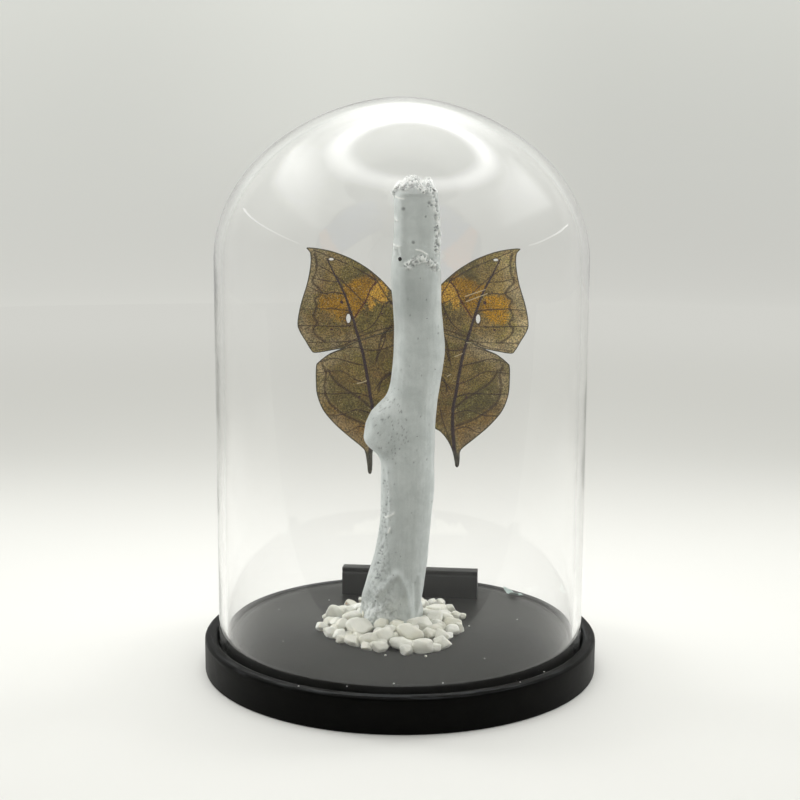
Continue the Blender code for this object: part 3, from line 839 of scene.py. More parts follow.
def dome_section(wall):
    """The dome's section: down the outside, round the lip and up the inside."""
    angles = np.linspace(0, pi / 2, 72)
    radii = DOME_RADIUS * np.sin(angles) ** (2 / DOME_WIDTH_POWER)
    heights = np.cos(angles).clip(0) ** (2 / DOME_HEIGHT_POWER)
    heights = DOME_SHOULDER + (DOME_TOP - DOME_SHOULDER) * heights
    outer = np.column_stack((radii, heights))
    ahead = np.gradient(outer, axis=0)
    ahead[0], ahead[-1] = (1, 0), (0, -1)
    inward = np.column_stack((ahead[:, 1], -ahead[:, 0]))
    inner = outer + wall * inward / np.linalg.norm(inward, axis=1)[:, None]
    inner[0, 0] = 0
    straight = np.linspace(DOME_SHOULDER, DOME_FOOT + wall, 24)[1:-1]
    profile = [tuple(point) for point in outer]
    profile += [(DOME_RADIUS, height) for height in straight]
    profile += arc(DOME_RADIUS - wall / 2, DOME_FOOT + wall / 2, wall / 2, 0, -180, 9)
    profile += [(DOME_RADIUS - wall, height) for height in reversed(straight)]
    profile += [tuple(point) for point in reversed(inner)]
    return profile


def make_dome(settings):
    dome = lathe("dome_glass", dome_section(settings.wall), settings.steps, [glass_material(settings)])
    hide_from(dome, "shadow")
    return place(dome, "clear_glass", "glass_dome")


# ---- branch


def branch_section(height):
    """Centre x, centre y and radius of the branch at each height, softened between its sections."""
    columns = []
    for column in (1, 2, 3):
        columns.append(sum(
            weight * np.interp(height + shift, BRANCH_SECTIONS[:, 0], BRANCH_SECTIONS[:, column])
            for shift, weight in ((-4, 0.12), (-2, 0.22), (0, 0.32), (2, 0.22), (4, 0.12))
        ))
    return columns


def angle_between(first, second):
    return np.abs((first - second + pi) % (2 * pi) - pi)


def branch_reach(height, angle):
    """The branch's radius at a height and an angle, with its stub, whittled flat and root folds."""
    x, _, radius = branch_section(height)
    lean = height - STUB_HEIGHT
    stub = np.where(lean > 0, np.exp(-np.abs(lean / 12.9) ** 4), np.exp(-np.abs(lean / 6.5) ** 2.5))
    reach = radius + 7.2 * stub * np.exp(-((angle_between(angle, STUB_ANGLE) / radians(42)) ** 2))
    across = x + radius * np.cos(angle)
    bottom = np.clip(158.0 - 0.13 * (across - 7.2) ** 2, 154.6, 158.0)
    facet = smooth_step(bottom, bottom + 0.7, height) * (1 - smooth_step(180.6, 181.8, height))
    reach = reach - 1.15 * facet * np.exp(-((angle_between(angle, FACET_ANGLE) / radians(36)) ** 4))
    root = 1 - smooth_step(14.4, 40, height)
    return reach + 0.9 * root * np.cos(5 * angle + 6 * root)


# A line of pores and a ledge of paint on the branch's -Y side as (x, z), in mm
PORE_LINE = ((-6, 79.6), (-5.4, 72), (-4.9, 66), (-5.9, 58), (-7.4, 48.5), (-9, 40))
LEDGE = ((2.3, 155.6), (4.5, 157.3), (7.4, 158.4), (10, 157.3), (12.4, 155))
# Ridges (raised) and grooves (sunk) on the branch's -Y side: polyline of (x, z), half width, height, in mm
BRANCH_RIDGES = (
    (((-0.9, 39.7), (-3.5, 36.9), (-6.2, 33.7), (-9.3, 30.1)), 1.5, 0.9),
    (((-0.9, 39.7), (1, 36.2), (2.2, 31.3), (3.3, 26.3), (3.8, 21)), 1.2, 0.9),
    (((7.2, 38), (7.6, 30), (8.2, 20)), 0.9, 0.35),
    (((-7, 30.5), (-6, 27.5), (-3.5, 24.5), (-1.2, 21)), 1.6, -0.9),
    (((-10.5, 29.5), (-9.3, 27)), 1.6, -1),
    (((5.4, 35), (5.8, 27), (6, 20)), 0.7, -0.4),
    (((-3, 89.1), (0.7, 93.9)), 0.3, -0.22),
    (PORE_LINE, 0.5, -0.22),
    (((-4.9, 79), (-4.2, 70), (-3.9, 64), (-5, 56)), 0.6, 0.2),
    (LEDGE, 0.6, 0.45),
    (((-4.6, 158.8), (-3.4, 160.6)), 0.8, -0.4),
    (((-3.4, 174.6), (-2.8, 173.6)), 0.6, -0.5),
    (((-1.6, 161.6), (-1.3, 159.8)), 0.5, -0.4),
)
# Curled lips of paint on the same side: polyline of (x, z), in mm
PAINT_LIPS = (
    ((-2.2, 181), (-1, 180.3), (0.6, 180)), ((-3.4, 173.7), (-2.4, 172.7), (-1.6, 172)),
    ((-4, 165.2), (-3.2, 163.6), (-2, 162.8), (-0.8, 162.5)), ((5.2, 161.5), (7, 161.1), (9.2, 159.8)),
    ((-1.6, 186.6), (-0.8, 184.9)), ((0.2, 186.4), (3, 186.6), (6.4, 187)), ((7.4, 185), (8.6, 183.4)),
    ((-2.4, 62.9), (-4, 61.6), (-5.9, 60.6)), ((-3.8, 57), (-4.6, 55)),
)
# The chipped paint down the top's right edge as (x, z), and the broken end's drop as (x, drop), in mm
CHIPPED_EDGE = ((8.4, 187), (10.6, 184), (12.2, 178), (13.2, 171), (13.6, 166), (13.1, 160.5))
CROWN_DROP = (
    (-3.6, 4), (-2.8, 2.6), (-1.5, 1.8), (0.4, 2.2), (1.2, 0.9), (2.5, 0.3), (4.5, 0), (6.2, 0.8),
    (7, 2), (8, 2.1), (8.8, 0.9), (10.2, 0.7), (11.3, 1.7), (12.6, 4),
)
# x, z and radius of each hole, in mm
NAIL_HOLES = (
    (-0.8, 158, 0.9), (6.9, 151.2, 0.17), (9.4, 136.3, 0.2), (9.5, 129.1, 0.14), (12.6, 117.3, 0.2),
    (6, 92.4, 0.18), (-1.7, 47.8, 0.2), (11.1, 107.7, 0.12), (-2.3, 110, 0.16), (-1.1, 109.7, 0.15),
    (-3.3, 108.4, 0.15), (-0.1, 117.3, 0.13), (-2.6, 39.3, 0.22), (-10, 28.2, 0.36), (-8.1, 27, 0.24),
    (12.6, 170.4, 0.2), (12.9, 164.2, 0.17), (9.9, 177.4, 0.2), (4.2, 34, 0.12), (-6, 62.4, 0.16),
    (-5.3, 66, 0.14), (-6.6, 56.6, 0.14), (-4.4, 63.2, 0.13), (-3.8, 60, 0.14),
)


def branch_pits():
    """Shallow pocks in the paint as (x, z, radius, depth) in millimetres on the -Y side."""
    rng = random.Random(5)
    pits = [(10.0, 178.6, 0.8), (10.7, 177.7, 0.6), (0.5, 176.4, 0.9), (4.2, 164.2, 0.8), (8.7, 173.6, 0.5)]
    for _ in range(110):  # round the stub
        turn, reach = rng.uniform(0, 2 * pi), sqrt(rng.random())
        x, z = -4.2 + 6.5 * reach * cos(turn), 95 + 12 * reach * sin(turn)
        pits.append((x, z, rng.uniform(0.16, 0.32)))
    for _ in range(64):  # down the pore line to the foot
        height = rng.uniform(36, 80)
        line = np.interp(height, (30, 40, 48, 58, 66, 80), (-9.5, -8.6, -7.2, -5.9, -5.0, -5.8))
        pits.append((line + rng.gauss(0, 0.8), height, rng.uniform(0.25, 0.5)))
    for _ in range(26):  # along the right edge near the top
        pits.append((12.6 + rng.gauss(0, 0.35), rng.uniform(161, 181), rng.uniform(0.3, 0.6)))
    for _ in range(30):  # anywhere
        pits.append((rng.uniform(-7, 14), rng.uniform(45, 150), rng.uniform(0.2, 0.4)))
    return [(x, z, radius, rng.uniform(0.14, 0.32)) for x, z, radius in pits]


def branch_surface(settings):
    """Rows of points up the branch and over its broken end, and how far up the end each row is, 0 to 1."""
    body = [
        np.linspace(low, high, int(settings.rings * share), endpoint=high > 160)
        for low, high, share in ((BRANCH_FOOT, 50, 0.24), (50, 153, 0.42), (153, BRANCH_TOP - 3.2, 0.34))
    ]
    body = np.concatenate(body)
    over = np.radians(np.linspace(0, 84, 36)[1:])
    angle = turns_round(settings.sides)[None, :]
    angle = angle - 0.4 * np.cos(angle)  # closer together on the -Y side
    rows_h = np.concatenate((body, np.full(len(over), body[-1])))[:, None]
    shrink = np.concatenate((np.ones(len(body)), np.cos(over) ** 0.72))[:, None]
    lift = np.concatenate((np.zeros(len(body)), 3.0 * np.sin(over) ** 0.9))[:, None]
    crown = np.concatenate((np.zeros(len(body)), np.sin(over)))[:, None] + 0 * angle
    x, y, _ = branch_section(rows_h)
    reach = branch_reach(rows_h, angle) * shrink
    lift = lift - 1.6 * smooth_step(0.55, 0.0, shrink) * np.ones_like(angle)
    rows = np.stack((x + reach * np.cos(angle), y + reach * np.sin(angle), rows_h + lift + 0 * angle), axis=2)
    return rows, crown


def surface_normals(rows):
    up = np.gradient(rows, axis=0)
    round_ = np.roll(rows, -1, axis=1) - np.roll(rows, 1, axis=1)
    normals = np.cross(round_, up)
    return normals / np.maximum(np.linalg.norm(normals, axis=2), 1e-9)[:, :, None]


def branch_relief(points, normals, crown):
    """How far each point moves outward, and 0 to 1 for the painted shade in its pits and crevices, the
    painted highlight on its crests, and its rough paint.
    """
    flat = points[:, [0, 2]]
    height = points[:, 2]
    turn = np.arctan2(points[:, 1] + 6, points[:, 0] - 5)
    front = smooth_step(0.1, 0.5, -normals[:, 1])
    move = 0.28 * fractal(points, 15, 2) + 0.07 * fractal(points * (1, 1, 0.22), 2.0, 3, 7.0)
    stub = np.exp(-((height - 96) / 13) ** 2) * smooth_step(0.3, -0.7, normals[:, 0])
    move += 0.16 * stub * fractal(points, 3.2, 3, 3.0)
    foot = 1 - smooth_step(20, 48, height)
    move += 0.35 * foot * fractal(points * (1, 1, 0.5), 4.5, 3, 11.0)
    middle = np.interp(height, (22, 48, 80), (0.0, -3.5, -4.5))
    bark = smooth_step(84, 58, height) * smooth_step(middle + 0.5, middle - 2.5, flat[:, 0]) * front
    grain = fractal(points * (1, 1, 0.8), 1.15, 3, 13.0)
    move += 0.18 * bark * grain
    crest_highlight = np.zeros(len(points))
    for line, width, rise in BRANCH_RIDGES:
        move += front * rise * near_line(flat, line, width)
    # The curled lips stand out, and their tops take a painted highlight
    for line in PAINT_LIPS:
        lip = front * near_line(flat, line, 0.3)
        move += 0.4 * lip
        crest_highlight = np.maximum(crest_highlight, lip)
    # Painted shade in the pocks, the bark's grooves and, below, the broken end's hollows
    pit_shade = np.zeros(len(points))
    for x, z, radius, depth in branch_pits():
        beside = (np.abs(flat[:, 0] - x) < radius) & (np.abs(height - z) < radius)
        near = np.flatnonzero(beside & (front > 0.05))
        gap = np.hypot(flat[near, 0] - x, height[near] - z)
        dip = np.clip(1 - (gap / radius) ** 2, 0, 1)
        move[near] -= depth * dip
        pit_shade[near] = np.maximum(pit_shade[near], 0.8 * dip)
    pit_shade = np.maximum(pit_shade, 0.3 * bark * smooth_step(-0.1, -0.4, grain))
    edge = 182.6 + 0.9 * np.sin(3 * turn + 1.1) + 0.7 * np.sin(7 * turn + 0.4)
    broken = smooth_step(edge - 0.3, edge + 0.9, height + 3 * crown)
    right = near_line(flat, CHIPPED_EDGE, 1.3) * (points[:, 1] < 0)
    ledge = near_line(flat, LEDGE, 1.6, 4) * front
    root = (1 - smooth_step(20, 36, height)) * smooth_step(3, -5, flat[:, 0]) * front
    left = np.exp(-(((flat[:, 0] + 3.0) / 1.3) ** 2 + ((height - 162.2) / 2.8) ** 2)) * front
    rough = np.clip(np.maximum.reduce((broken, 0.7 * right, 0.8 * ledge, 0.35 * root, 0.6 * left)), 0, 1)
    work = np.flatnonzero(rough > 0.02)
    craters = smooth_step(0.18, 0.62, cell_distance(points[work], 2.3, 2.0))
    small = smooth_step(0.15, 0.6, cell_distance(points[work], 1.0, 9.0))
    folds = np.clip(1 - 2.2 * np.abs(fractal(points[work], 1.5, 3, 4.0)), 0, 1)
    move[work] += rough[work] * (1.1 * craters - 1.0 + 0.4 * small + 0.85 * folds)
    # Painted shade in the broken end's hollows, and a painted highlight on the tops of its folds
    hollow = np.maximum((1 - craters) * (1 - 0.5 * small), 0.9 * smooth_step(0.45, 0.05, folds) * (1 - small))
    pit_shade[work] = np.maximum(pit_shade[work], np.clip(rough[work] * hollow, 0, 1))
    crest_highlight[work] = np.maximum(crest_highlight[work], rough[work] * smooth_step(0.2, 0.6, folds))
    pores = np.exp(-(((flat[:, 0] + 4) / 7) ** 2 + ((height - 96) / 14) ** 2)) + 0.7 * foot
    pores += 0.8 * near_line(flat, PORE_LINE, 2.4)
    return move, pit_shade, crest_highlight, np.clip(np.maximum(rough, pores), 0, 1)


def cut_nail_holes(branch):
    """Small round holes drilled into the -Y side, their insides painted near black as shade."""
    bm = bmesh.new()
    for x, z, radius in NAIL_HOLES:
        centre_x, centre_y, around = (float(v) for v in branch_section(np.array(z)))
        side = min(max((x - centre_x) / around, -0.92), 0.92)
        out = Vector((side, -sqrt(1 - side * side), 0.0))
        middle = Vector((centre_x, centre_y, z)) + out * around
        turn = out.to_track_quat("Z", "Y").to_matrix().to_4x4()
        depth = 8 * radius + 2.4
        bmesh.ops.create_cone(
            bm, cap_ends=True, segments=14, radius1=radius * 0.8 * MM, radius2=radius * MM, depth=depth * MM,
            matrix=Matrix.Translation(middle * MM) @ turn,
        )
    mesh = bpy.data.meshes.new("nail_holes")
    bm.to_mesh(mesh)
    bm.free()
    mesh.materials.append(nail_hole_material())
    cutter = link_object("nail_holes", mesh)
    cut = branch.modifiers.new("Nail holes", "BOOLEAN")
    cut.operation = "DIFFERENCE"
    cut.object = cutter
    cut.material_mode = "TRANSFER"
    bpy.context.view_layer.update()
    evaluated = branch.evaluated_get(bpy.context.evaluated_depsgraph_get())
    drilled = bpy.data.meshes.new_from_object(evaluated)
    branch.modifiers.clear()
    branch.data = drilled
    bpy.data.objects.remove(cutter, do_unlink=True)


def make_branch(settings):
    rows, crown = branch_surface(settings)
    count, sides = rows.shape[:2]
    normals = surface_normals(rows).reshape(-1, 3)
    points = rows.reshape(-1, 3)
    move, pit_shade, crest_highlight, rough = branch_relief(points, normals, crown.reshape(-1))
    settle = smooth_step(BRANCH_FOOT, BRANCH_FOOT + 1.0, points[:, 2])
    points = points + normals * (move * settle)[:, None]
    drop_x, drop = np.array(CROWN_DROP).T
    points[:, 2] -= np.interp(points[:, 0], drop_x, drop) * smooth_step(182.5, 187.5, points[:, 2])
    top = points[-sides:].mean(axis=0) - (0, 0, 0.4)
    foot = points[:sides].mean(axis=0)
    verts = np.vstack((points, [foot, top])) * MM
    faces = ring_faces(count, sides)
    last = (count - 1) * sides
    for i in range(sides):
        j = (i + 1) % sides
        faces.append((count * sides, j, i))
        faces.append((count * sides + 1, last + i, last + j))
    branch = mesh_object("branch_painted", verts, faces, [white_paint_material(settings)])
    # A band of painted shade across the middle of the front, around 144 mm and faintly 168 mm up
    middle = np.exp(-(((points[:, 0] - 3.6) / 7.6) ** 4))
    low, high = (np.exp(-(((points[:, 2] - z) / reach) ** 2)) for z, reach in ((144, 11), (168, 6)))
    band_shade = middle * (low + 0.25 * high)
    for name, values in (("pit_shade", pit_shade), ("rough", rough), ("crest_highlight", crest_highlight), ("band_shade", band_shade)):
        set_attribute(branch, name, np.append(values, (0, name == "rough")))
    cut_nail_holes(branch)
    return place(branch, "white_painted_wood", "branch")


# ---- gravel


def sphere_directions(level):
    """Vertices and faces of a fine ball, as the start of a stone."""
    bm = bmesh.new()
    bmesh.ops.create_icosphere(bm, subdivisions=level, radius=1)
    directions = np.array([vert.co for vert in bm.verts])
    faces = np.array([[vert.index for vert in face.verts] for face in bm.faces])
    bm.free()
    return directions, faces


def chip_shape(directions, rng, softness):
    """A tumbled chip: a ball cut by a few planes, with rounded edges."""
    normals, cuts = [], []
    for i in range(13):
        height = 1 - 2 * (i + 0.5) / 13
        ring = sqrt(1 - height * height)
        turn = i * GOLDEN_ANGLE + rng.uniform(-0.5, 0.5)
        normal = Vector((ring * cos(turn), ring * sin(turn), height + rng.uniform(-0.25, 0.25)))
        normals.append(normal.normalized())
        cuts.append(rng.uniform(0.72, 1.0))
    facing = np.clip(directions @ np.array(normals).T / np.array(cuts), 0, None)
    reach = np.power(np.power(facing, softness).sum(axis=1), -1 / softness)
    return directions * reach[:, None]


# The stones in front, as they lie: x, y, height above the disc, half width, half height, tilt in degrees
FRONT_STONES = (
    (-15.6, 29, 1.1, 1.8, 1.3, 0), (-20.1, 23, 1.3, 2.8, 1.4, -15), (-25.7, 6.3, 2.1, 3.5, 2.6, -20),
    (-29.6, 7.3, 1.1, 1.5, 1.2, 0), (-30.4, -6.3, 1.5, 2.3, 1.7, -25), (-19.8, 6.3, 4, 2.4, 1.6, -10),
    (-18.3, -5.7, 5, 3.3, 1.7, 5), (-13.1, -5.6, 5.8, 2.2, 1.8, 0), (-26.2, -14.6, 1.7, 2.6, 2, -15),
    (-22, -10.2, 3.4, 2.8, 2.2, -20), (-15.3, -15.9, 4.1, 5, 3, -8), (-22.5, -21, 1.3, 1.8, 1.4, 0),
    (-17.7, -24.2, 1.9, 3, 1.8, -10), (-11.8, -25.8, 2.5, 3.3, 2.5, 10), (-6.7, -16.2, 5.6, 2.6, 2.1, 0),
    (-9.3, -10.5, 6.1, 2.4, 1.5, 10), (-5.7, -23.6, 3.9, 4.1, 2.5, 5), (-7.1, -30.6, 1.7, 3.1, 1.9, 0),
    (-1.2, -17.1, 6, 2.4, 1.4, 0), (-3.4, -21.5, 5.3, 2.1, 1.3, 0), (2.8, -22, 3.9, 4.3, 3, 0),
    (0.2, -28.3, 2.6, 4.1, 1.8, 0), (2.4, -33.2, 1.5, 2.2, 1.7, 0), (4.3, -14.6, 5.7, 2.4, 2, 20),
    (8.2, -13.8, 4.6, 2.6, 3.2, 35), (8.7, -31.2, 2.2, 3.7, 2.6, 15), (10.9, -20.6, 3.7, 2.4, 1.8, 0),
    (12.7, -17.3, 3.9, 3.2, 2, 0), (15.3, -26.8, 1.9, 3, 2.1, -25), (15.1, -19.8, 2.9, 2.8, 1.6, -20),
    (13, -5.1, 4.7, 3.3, 2.6, 20), (10.4, -3.2, 5.7, 2.6, 1.6, 0), (10, 21.4, 1.7, 1.8, 1.8, 0),
    (13.5, 24.4, 1.6, 2, 1.8, 0), (16.8, 25, 1.4, 2, 1.6, 0), (16, 16.9, 1.6, 3.2, 1.6, 10),
    (20.2, 16.6, 1.6, 1.8, 1.8, 25), (18, -1.1, 3.5, 2.6, 2, 0), (22.1, 8.1, 1.5, 2.2, 1.6, 0),
    (25, 8.5, 1, 1.5, 1.2, 0), (19.9, -11.7, 2.2, 3.1, 2, 0), (23.1, -7.9, 1.7, 1.6, 1.9, 20),
    (20.2, -5.1, 2.7, 3.1, 1.7, 0), (-27.6, -1.6, 1.7, 2.5, 1.7, 10), (-24.6, -5.2, 2.5, 2.8, 1.9, -10),
    (-24, 13.5, 1.6, 2.6, 1.7, 10), (12, -30, 1.5, 2.2, 1.5, 10), (-12.4, -29, 1.3, 2, 1.4, 0),
)


def heap_height(distance):
    return HEAP_HEIGHT * (1 - min(distance / HEAP_RADIUS, 1) ** HEAP_POWER)


def on_heap(distance, turn, rise):
    """A place on the heap, by its way from the heap's middle and its height above the disc."""
    return np.array((
        HEAP_CENTRE[0] + distance * cos(turn),
        HEAP_CENTRE[1] + distance * sin(turn) * HEAP_STRETCH,
        DISC_TOP / MM + rise,
    ))


def turned(angle, axis):
    return Matrix.Rotation(angle, 3, axis)


def stone_places(settings):
    """Centre, half sizes and turn of each stone: a layer on the disc, then one on top of it."""
    rng = random.Random(settings.seed)
    places = []
    for x, y, rise, wide, tall, tilt in FRONT_STONES:
        deep = wide * rng.uniform(0.78, 1.0)
        spin = turned(radians(-tilt), "Y") @ turned(rng.uniform(-0.5, 0.5), "Z")
        half = np.array((1.13 * wide, 1.1 * deep, 1.28 * tall))
        places.append((np.array((x, y, DISC_TOP / MM + rise)), half, np.array(spin)))
    for count, reach, is_upper in ((settings.lower_stones, 0.95, False), (settings.upper_stones, 0.80, True)):
        for i in range(count):
            distance = HEAP_RADIUS * reach * sqrt((i + 0.5) / count) * rng.uniform(0.94, 1.02)
            turn = i * GOLDEN_ANGLE + rng.uniform(-0.25, 0.25) + 2 * is_upper
            size = rng.uniform(2.0, 3.2)
            half = size * np.array((rng.uniform(1.0, 1.35), rng.uniform(0.82, 1.05), rng.uniform(0.66, 0.9)))
            hidden = sin(turn) > 0.1 and abs(cos(turn)) < 0.85
            if not hidden:  # filling under the stones in front
                distance *= 0.9
                half *= 0.85
            top = heap_height(distance)
            low = half[2] * 0.86
            rise = max(top - half[2] * (0.62 if hidden else 1.3), low + 1.0) if is_upper else low
            centre = on_heap(distance, turn, rise)
            spin = turned(rng.uniform(0, pi), "Z") @ turned(rng.uniform(-0.35, 0.35), "X")
            x, y, radius = (float(v) for v in branch_section(np.array(centre[2])))
            if hypot(centre[0] - x, centre[1] - y) > radius + 0.4:
                places.append((centre, half, np.array(spin)))
    return places


def joined_chips(name, places, level, seed, material):
    """One mesh of many chips, each a little warmer or cooler than the next."""
    rng = random.Random(seed)
    directions, faces = sphere_directions(level)
    verts, all_faces, warmth = [], [], []
    for index, (centre, half, spin) in enumerate(places):
        shape = chip_shape(directions, rng, rng.uniform(9, 17)) * half
        verts.append(shape @ spin.T + centre)
        all_faces.append(faces + index * len(directions))
        warmth += [rng.random()] * len(directions)
    verts = np.vstack(verts)
    verts = verts + 0.05 * fractal(verts, 1.1, 2)[:, None]
    verts[:, 2] = np.maximum(verts[:, 2], DISC_TOP / MM + 0.02)
    stones = mesh_object(name, verts * MM, np.vstack(all_faces).tolist(), [material])
    set_attribute(stones, "warmth", warmth)
    return stones


def make_gravel(settings):
    material = stone_material(settings)
    stones = joined_chips("gravel_stones", stone_places(settings), 4, settings.seed + 1, material)
    place(stones, "white_stone", "gravel")
    rng = random.Random(settings.seed + 2)
    crumbs = []
    for i in range(settings.crumbs):
        turn = rng.uniform(0, 2 * pi)
        distance = HEAP_RADIUS * rng.uniform(1.0, 1.16 if i % 3 else 1.4)
        half = rng.uniform(0.25, 0.6) * np.array((1.2, 1.0, 0.7))
        spin = np.array(turned(rng.uniform(0, 3), "Z"))
        crumbs.append((on_heap(distance, turn, half[2] * 0.8), half, spin))
    grains = joined_chips("gravel_crumbs", crumbs, 2, settings.seed + 3, material)
    return place(grains, "white_stone")


# ---- label holder

# Its section, back edge at y = 0, in millimetres
LABEL_SECTION = (
    (0, 0), (9, 0), (8.8, 1.5), (8, 1.7), (5.3, 10.2), (6, 10.6), (5.6, 11.8), (0, 11.8), (0, 10.9),
    (0.5, 10.5), (0.5, 9.8), (0, 9.3),
)
LABEL_LENGTH = 57.6
LABEL_CENTRE = (3.8, 37.2)
LABEL_TURN = radians(-6.3)


def make_label_holder(settings):
    """The extruded strip, with its edges rounded."""
    bm = bmesh.new()
    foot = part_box("label_holder")[0].z / MM
    loops = [
        [bm.verts.new((x * MM, y * MM, z * MM)) for y, z in LABEL_SECTION]
        for x in (-LABEL_LENGTH / 2, LABEL_LENGTH / 2)
    ]
    count = len(LABEL_SECTION)
    for i in range(count):
        j = (i + 1) % count
        bm.faces.new((loops[0][i], loops[0][j], loops[1][j], loops[1][i]))
    bm.faces.new(loops[0])
    bm.faces.new(loops[1])
    bmesh.ops.recalc_face_normals(bm, faces=bm.faces)
    bmesh.ops.bevel(
        bm, geom=list(bm.edges), offset=settings.edge_round, offset_type="OFFSET", segments=3,
        profile=0.5, affect="EDGES", clamp_overlap=True,
    )
    where = Matrix.Translation((LABEL_CENTRE[0] * MM, LABEL_CENTRE[1] * MM, foot * MM))
    bmesh.ops.transform(bm, matrix=where @ Matrix.Rotation(LABEL_TURN, 4, "Z"), verts=bm.verts)
    mesh = bpy.data.meshes.new("label_strip")
    bm.to_mesh(mesh)
    bm.free()
    mesh.shade_smooth()
    mesh.materials.append(black_plastic_material(settings))
    strip = link_object("label_strip", mesh)
    sharpen(strip, 28)
    return place(strip, "black_plastic", "label_holder")


# ---- wings

# Lines and patches of the wing pattern: distance from the butterfly's middle line and height, in millimetres
MIDRIB = (
    (33.6, 157.2), (30.7, 151.2), (28.3, 146.8), (26.2, 142), (24.6, 137), (23.2, 133), (22.3, 129.7),
    (20.9, 125), (19.5, 120), (17.9, 111.5), (16.9, 105), (15.9, 99.5), (15.7, 92.5), (16.3, 84.5),
    (17.2, 76.5),
)
FORE_VEINS = (
    ((28.8, 148.3), (33, 148.4), (38.5, 149.5)),
    ((26.3, 143.4), (31, 144.1), (35.2, 143.8), (41, 146.5)),
    ((24.6, 137.2), (32, 137.8), (43.5, 137.6)),
    ((23.7, 131.3), (30, 131), (38, 131.2), (44.8, 131.2)),
    ((21.9, 125.7), (26.5, 125.1), (35.5, 124.8), (41.6, 124.6)),
    ((1.5, 132.5), (9, 140.6), (14.3, 149), (17, 152.4)),
    ((14.2, 148.8), (22.5, 153.6), (31.8, 157.6), (38.5, 160.4)),
    ((20.3, 141.3), (26, 147), (31.5, 151.5), (37.5, 154.8)),
    ((1.5, 131.5), (8.2, 140.5), (11.3, 139.9), (18.1, 143.7)),
    ((11.3, 139.9), (13.8, 134.3), (16.9, 130.6), (21.6, 128.3)),
    ((2, 129.5), (9, 130.6), (20, 127.4), (28, 123.4), (38.3, 121.6)),
)
HIND_VEINS = (
    ((6.9, 131), (10.3, 129.9), (11.3, 125), (13.8, 119.4), (15, 115.7)),
    ((2, 122), (8.8, 112.6), (12.5, 109.5), (15, 106.4)),
    ((2.2, 118), (7, 109), (10.4, 101), (11.6, 95), (15.1, 85)),
    ((19.2, 115.8), (25, 117.2), (31, 118.6), (36.5, 117)),
    ((17.9, 108.5), (23, 110.6), (28.5, 113.6), (37.6, 112.8)),
    ((17.2, 103.6), (22.5, 105), (31, 104.6), (37.4, 104.8)),
    ((16.6, 97), (22, 98.4), (28, 96.4), (33.6, 96.2)),
    ((16.3, 90.5), (21, 91.8), (25.5, 89.6), (28, 90.2)),
    ((2, 126.5), (10, 122.8), (17, 121.8), (24, 123), (32, 120.4)),
)
RED_LINE = ((22.8, 134.4), (20.8, 137.7), (18.4, 141.2), (17.5, 143.5), (16.4, 145.9), (14.6, 148.2))
SCALLOPS = (
    ((38.2, 159), (37.6, 155.4), (38, 151.6), (39.2, 148.4), (37, 145.8), (35.8, 143.6), (38.4, 141.4),
     (37.5, 138.8), (38.9, 135), (37.5, 132.4), (39.1, 129.8), (37.4, 127), (34.2, 124.9)),
    ((35.4, 116), (34.1, 112.4), (34.7, 107.3), (33.5, 102.4), (30.4, 98.9), (24.9, 95.2), (17.2, 92.2)),
    ((16.9, 99.6), (19.6, 101.9), (24.2, 105.1), (28.9, 108.2), (31.6, 111), (33.2, 114)),
    ((8.2, 131.4), (11.8, 127.8), (13.6, 121.8), (14.2, 117.8)),
    ((9, 113), (12.3, 110.2), (13.4, 106)),
)
GOLD = (
    (10.5, 147.2), (12, 148.2), (14.5, 148), (16.3, 145.8), (17.6, 143.1), (18.2, 141), (18, 139),
    (16.8, 137.8), (15.7, 138.3), (14.6, 141.2), (12.3, 140.2), (10.6, 140.8),
)
AMBER_INNER = (
    (15.6, 150.2), (19.3, 150.3), (22.9, 149.3), (24.8, 147.6), (27.8, 146.4), (27, 144), (26, 141.8),
    (24.6, 138.2), (23, 135.6), (21.8, 136.2), (19.7, 139.3), (18.4, 141.4), (17.6, 143.4), (16.5, 145.8),
    (15, 148),
)
AMBER_OUTER = {
    -1: (
        (36.6, 142.7), (26.1, 143.5), (25, 137), (26.5, 133.6), (30, 134.2), (32.6, 136.6),
        (37, 138.2),
    ),
    1: (
        (26.6, 142), (28.4, 143.2), (35.4, 143.3), (37.6, 141.2), (37.2, 138.9), (36.2, 137.4),
        (37, 135), (36.2, 132.5), (33.9, 131.8), (31.5, 132.8), (29.5, 133.9), (27.6, 135), (25.5, 137.6),
    ),
}
SMUDGE = ((25, 149), (21.6, 152.4), (18, 154), (17.2, 152.6), (20.2, 150.2))
HIND_WARM = (
    (36, 103), (34.2, 97.5), (25, 88), (18.6, 83), (16.6, 91.5), (22, 93.8), (27.5, 96.6),
    (32.6, 100.4),
)
HIND_OLIVE = (
    (17, 99.8), (20, 102), (25, 105.6), (29, 108.5), (32.6, 111), (33.8, 105.5), (31, 99.8),
    (25, 95.9), (17.3, 92.9),
)
# Glints on each side's underside as (u, z): painted highlights, drawn in the scratches' pale colour
GLINTS = {
    -1: (
        (37.9, 150.9), (40.2, 146.3), (37.9, 154.9), (29.6, 142.2), (39.1, 136), (22.9, 135.3),
        (18.2, 144.9), (22.2, 126.8), (25.9, 122.9), (30, 98.5), (17.2, 98.9), (12.1, 126),
    ),
    1: (
        (38.6, 150.5), (38.6, 134.3), (37.4, 154.3), (22.5, 127), (35.2, 123.1), (17.2, 98.6), (12.7, 96.9),
        (34.7, 107.5), (29.9, 98.8), (20.3, 92.1), (12.1, 116.7), (18, 88.2),
    ),
}
